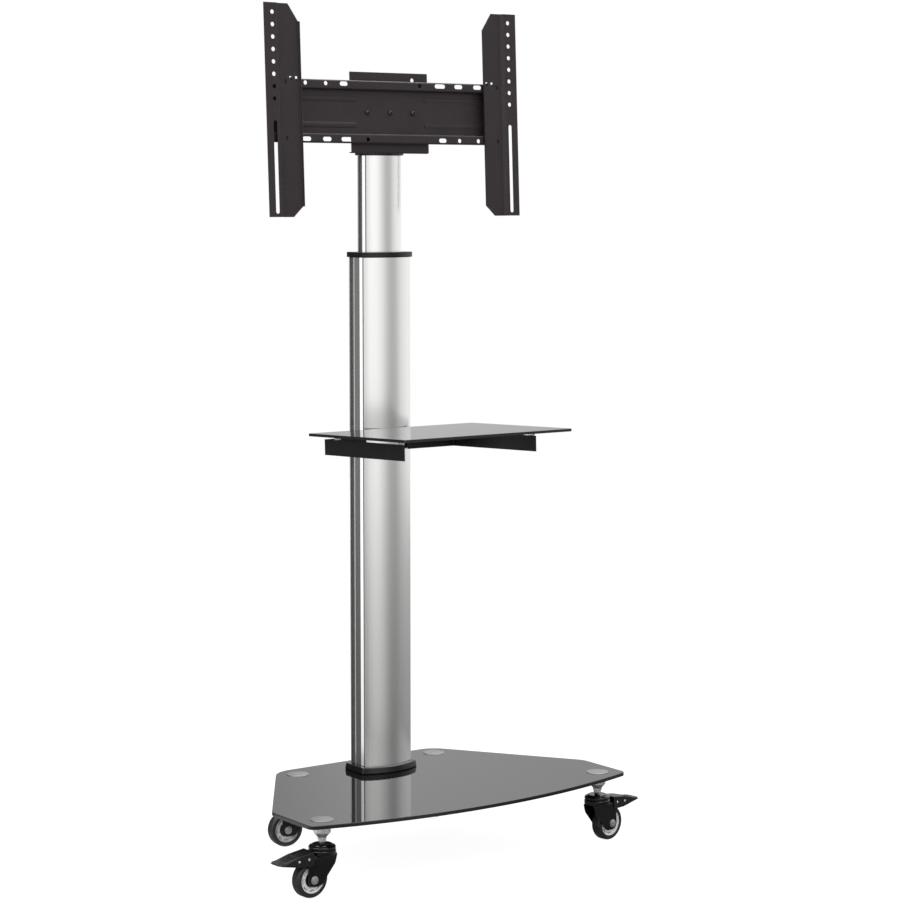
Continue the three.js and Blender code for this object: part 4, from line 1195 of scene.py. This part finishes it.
tail = -clamp_far - clamp_screw_tail
head_top = clamp_head_height - clamp_screw_face
clamp_screw = turned("clamp_screw", [
    (0, tail), (clamp_screw_radius, tail), (clamp_screw_radius, -clamp_screw_face),
    (clamp_head_radius, -clamp_screw_face), (clamp_head_radius, head_top - clamp_head_edge),
    (clamp_head_radius - clamp_head_edge, head_top), (0, head_top)], 32)
cut(clamp_screw, rod(0, 0, clamp_socket, head_top - clamp_socket, head_top + overrun, sides=6))
welded(clamp_screw, rod(0, 0, clamp_nut_radius, *[tail + rise for rise in clamp_nut_levels], sides=6))
clamp_spots = {
    side: rake @ moved(hand * clamp_bolt_x, 0, clamp_middle) @ facing
    for side, hand in (("left", -1), ("right", 1))}
repeated(clamp_spots, (
    soften(clamp_screw, 0.25), zinc, "shelf_clamp_screw", "shelf", "zinc", "shelf_clamp_bolt"))

# Studio
# A plain pale floor and a white surround for the camera. Mirrored rays see a ring of bright and dim
# walls instead, and soft lamps stand in front, to the right and above. In reflections the floor shows
# painted light and shade: brighter and dimmer by direction round the column, and dimmer near the
# column, where its shadow falls.
floor_reach = 12
floor_level = -0.0002
floor_glow = 0.94
floor_white = 0.28
floor_plain = 0.78
# Painted shade on the floor in reflections: its glow is dimmest at the column and grows with distance from
# it.
painted_shade_near = 0.44
painted_shade_fade = 0.073
ambient_light = 0.45
lift_from, lift_to, lift = 0.10, 0.25, 1.62
ring_power = 1.2
walls = [
    (0.0, 1.15), (0.100, 0.85), (0.180, 0.62), (0.215, 1.0), (0.255, 1.0), (0.285, 0.85), (0.335, 0.45),
    (0.365, 0.42), (0.410, 0.72), (0.450, 0.86), (0.508, 0.90), (0.583, 0.75), (0.640, 0.50), (0.655, 0.56),
    (0.666, 0.34), (0.700, 0.22), (0.750, 0.16), (0.833, 0.15), (0.903, 0.29), (0.945, 1.15), (1.0, 1.15),
]
# Painted light on the floor in reflections: its brightness by direction round the column.
painted_floor_light = [
    (0.0, 1.5), (0.100, 0.80), (0.180, 0.45), (0.220, 0.90), (0.245, 1.0), (0.265, 0.97), (0.285, 0.85),
    (0.320, 0.53), (0.350, 0.42), (0.375, 0.42), (0.410, 0.53), (0.450, 0.60), (0.508, 0.62), (0.583, 0.60),
    (0.650, 0.50), (0.750, 0.20), (0.833, 0.16), (0.903, 0.32), (0.940, 2.0), (0.980, 2.0), (1.0, 1.5),
]
overhead_from, overhead_to, overhead = 0.62, 0.8, 6


def show(tree, output, lighting, seen, mirrored):
    """Rays from the camera see the second shader, mirrored ones the third, and the first lights the rest."""
    rays = node(tree, "ShaderNodeLightPath").outputs
    looking = rays["Is Camera Ray"]
    for kind in ("Is Glossy Ray", "Is Transmission Ray"):
        looking = node(tree, "ShaderNodeMath", {0: looking, 1: rays[kind]}, operation="MAXIMUM")
    sight = node(tree, "ShaderNodeMixShader", {0: rays["Is Glossy Ray"], 1: seen, 2: mirrored})
    surface = node(tree, "ShaderNodeMixShader", {0: looking, 1: lighting, 2: sight})
    tree.links.new(surface.outputs[0], tree.nodes[output].inputs["Surface"])


def ring_of_walls(tree, directions, walls):
    """The shade of the walls in these directions, as a colour."""
    compass = node(tree, "ShaderNodeTexGradient", {"Vector": directions}, gradient_type="RADIAL")
    shades = node(tree, "ShaderNodeValToRGB", {"Fac": compass.outputs[1]})
    ramp = shades.color_ramp
    ramp.elements[0].position, ramp.elements[1].position = walls[0][0], walls[-1][0]
    for turn, shade in walls[1:-1]:
        ramp.elements.new(turn)
    for element, (turn, shade) in zip(ramp.elements, walls):
        element.position = turn
        element.color = (shade, shade, shade, 1)
    return shades


bpy.ops.object.select_all(action="DESELECT")
bpy.ops.mesh.primitive_plane_add(size=floor_reach, location=(0, 0, floor_level))
floor = bpy.context.object
floor.name = "studio_floor"
floor_finish = bpy.data.materials.new("studio_floor")
floor_finish.use_nodes = True
tree = floor_finish.node_tree
tree.nodes.remove(tree.nodes["Principled BSDF"])
matt = node(tree, "ShaderNodeBsdfDiffuse", {"Color": (floor_white, floor_white, floor_white, 1)})
glow = node(tree, "ShaderNodeEmission", {"Strength": floor_glow})
plain = node(tree, "ShaderNodeBsdfDiffuse", {"Color": (floor_plain, floor_plain, floor_plain, 1)})
# In reflections the floor glows with painted light and shade: brighter or dimmer by direction, and dimmer
# near the column, where its shadow falls.
from_column = node(tree, "ShaderNodeMapping", {
    "Vector": node(tree, "ShaderNodeTexCoord").outputs["Object"], "Location": (0, -column_y * mm, 0)})
distance = node(tree, "ShaderNodeVectorMath", {0: from_column}, operation="LENGTH")
painted_floor_shade = node(
    tree, "ShaderNodeMath", {0: distance.outputs["Value"], 1: painted_shade_fade, 2: painted_shade_near},
    operation="MULTIPLY_ADD")
floor_painted_light_and_shade = node(tree, "ShaderNodeEmission", {
    "Strength": painted_floor_shade, "Color": ring_of_walls(tree, from_column, painted_floor_light)})
both = node(tree, "ShaderNodeAddShader", {0: matt, 1: glow})
show(tree, "Material Output", plain, both, floor_painted_light_and_shade)
floor.data.materials.append(floor_finish)

surround = bpy.data.worlds.new("studio")
bpy.context.scene.world = surround
surround.use_nodes = True
tree = surround.node_tree
ambient = tree.nodes["Background"]
ambient.inputs["Color"].default_value = (1, 1, 1, 1)
ambient.inputs["Strength"].default_value = ambient_light
white = node(tree, "ShaderNodeBackground", {"Color": (1, 1, 1, 1)})
around = node(tree, "ShaderNodeTexCoord").outputs["Generated"]
height = node(tree, "ShaderNodeSeparateXYZ", {"Vector": around}).outputs["Z"]
steps_up = [
    node(tree, "ShaderNodeMapRange", {
        "Value": height, "From Min": start, "From Max": end, "To Min": low, "To Max": high})
    for start, end, low, high in (
        (lift_from, lift_to, ring_power, lift), (overhead_from, overhead_to, 0, overhead))]
power = node(tree, "ShaderNodeMath", {0: steps_up[0], 1: steps_up[1]}, operation="ADD")
ring = node(tree, "ShaderNodeBackground", {
    "Strength": power, "Color": ring_of_walls(tree, around, walls)})
show(tree, "World Output", ambient, white, ring)

lamp_aim = (0, 0, 0.9)
lamps = {
    "left": ((-3.9, -1.2, 2.2), 2.0, 60),
    "front": ((-0.6, -3.9, 2.9), 2.2, 34),
    "right": ((3.4, -0.6, 2.4), 1.8, 22),
    "top": ((0.2, 1.6, 3.6), 2.6, 30),
}
for name, (spot, size, power) in lamps.items():
    bpy.ops.object.light_add(type="AREA", location=spot)
    lamp = bpy.context.object
    lamp.name = f"{name}_softbox"
    lamp.data.size = size
    lamp.data.energy = power
    lamp.visible_glossy = name == "top"
    aim = Vector(lamp_aim) - Vector(spot)
    lamp.rotation_euler = aim.to_track_quat("-Z", "Y").to_euler()

camera_place = (-3.0665, -4.3075, 1.3960)
camera_down, camera_turn = 5.79, -36.10
camera_lens, camera_sensor = 101.3, 36
bpy.ops.object.camera_add(
    location=camera_place, rotation=(math.radians(90 - camera_down), 0, math.radians(camera_turn)))
camera = bpy.context.object
camera.data.lens, camera.data.sensor_width = camera_lens, camera_sensor
bpy.context.scene.camera = camera
bpy.context.scene.view_settings.view_transform = "Standard"
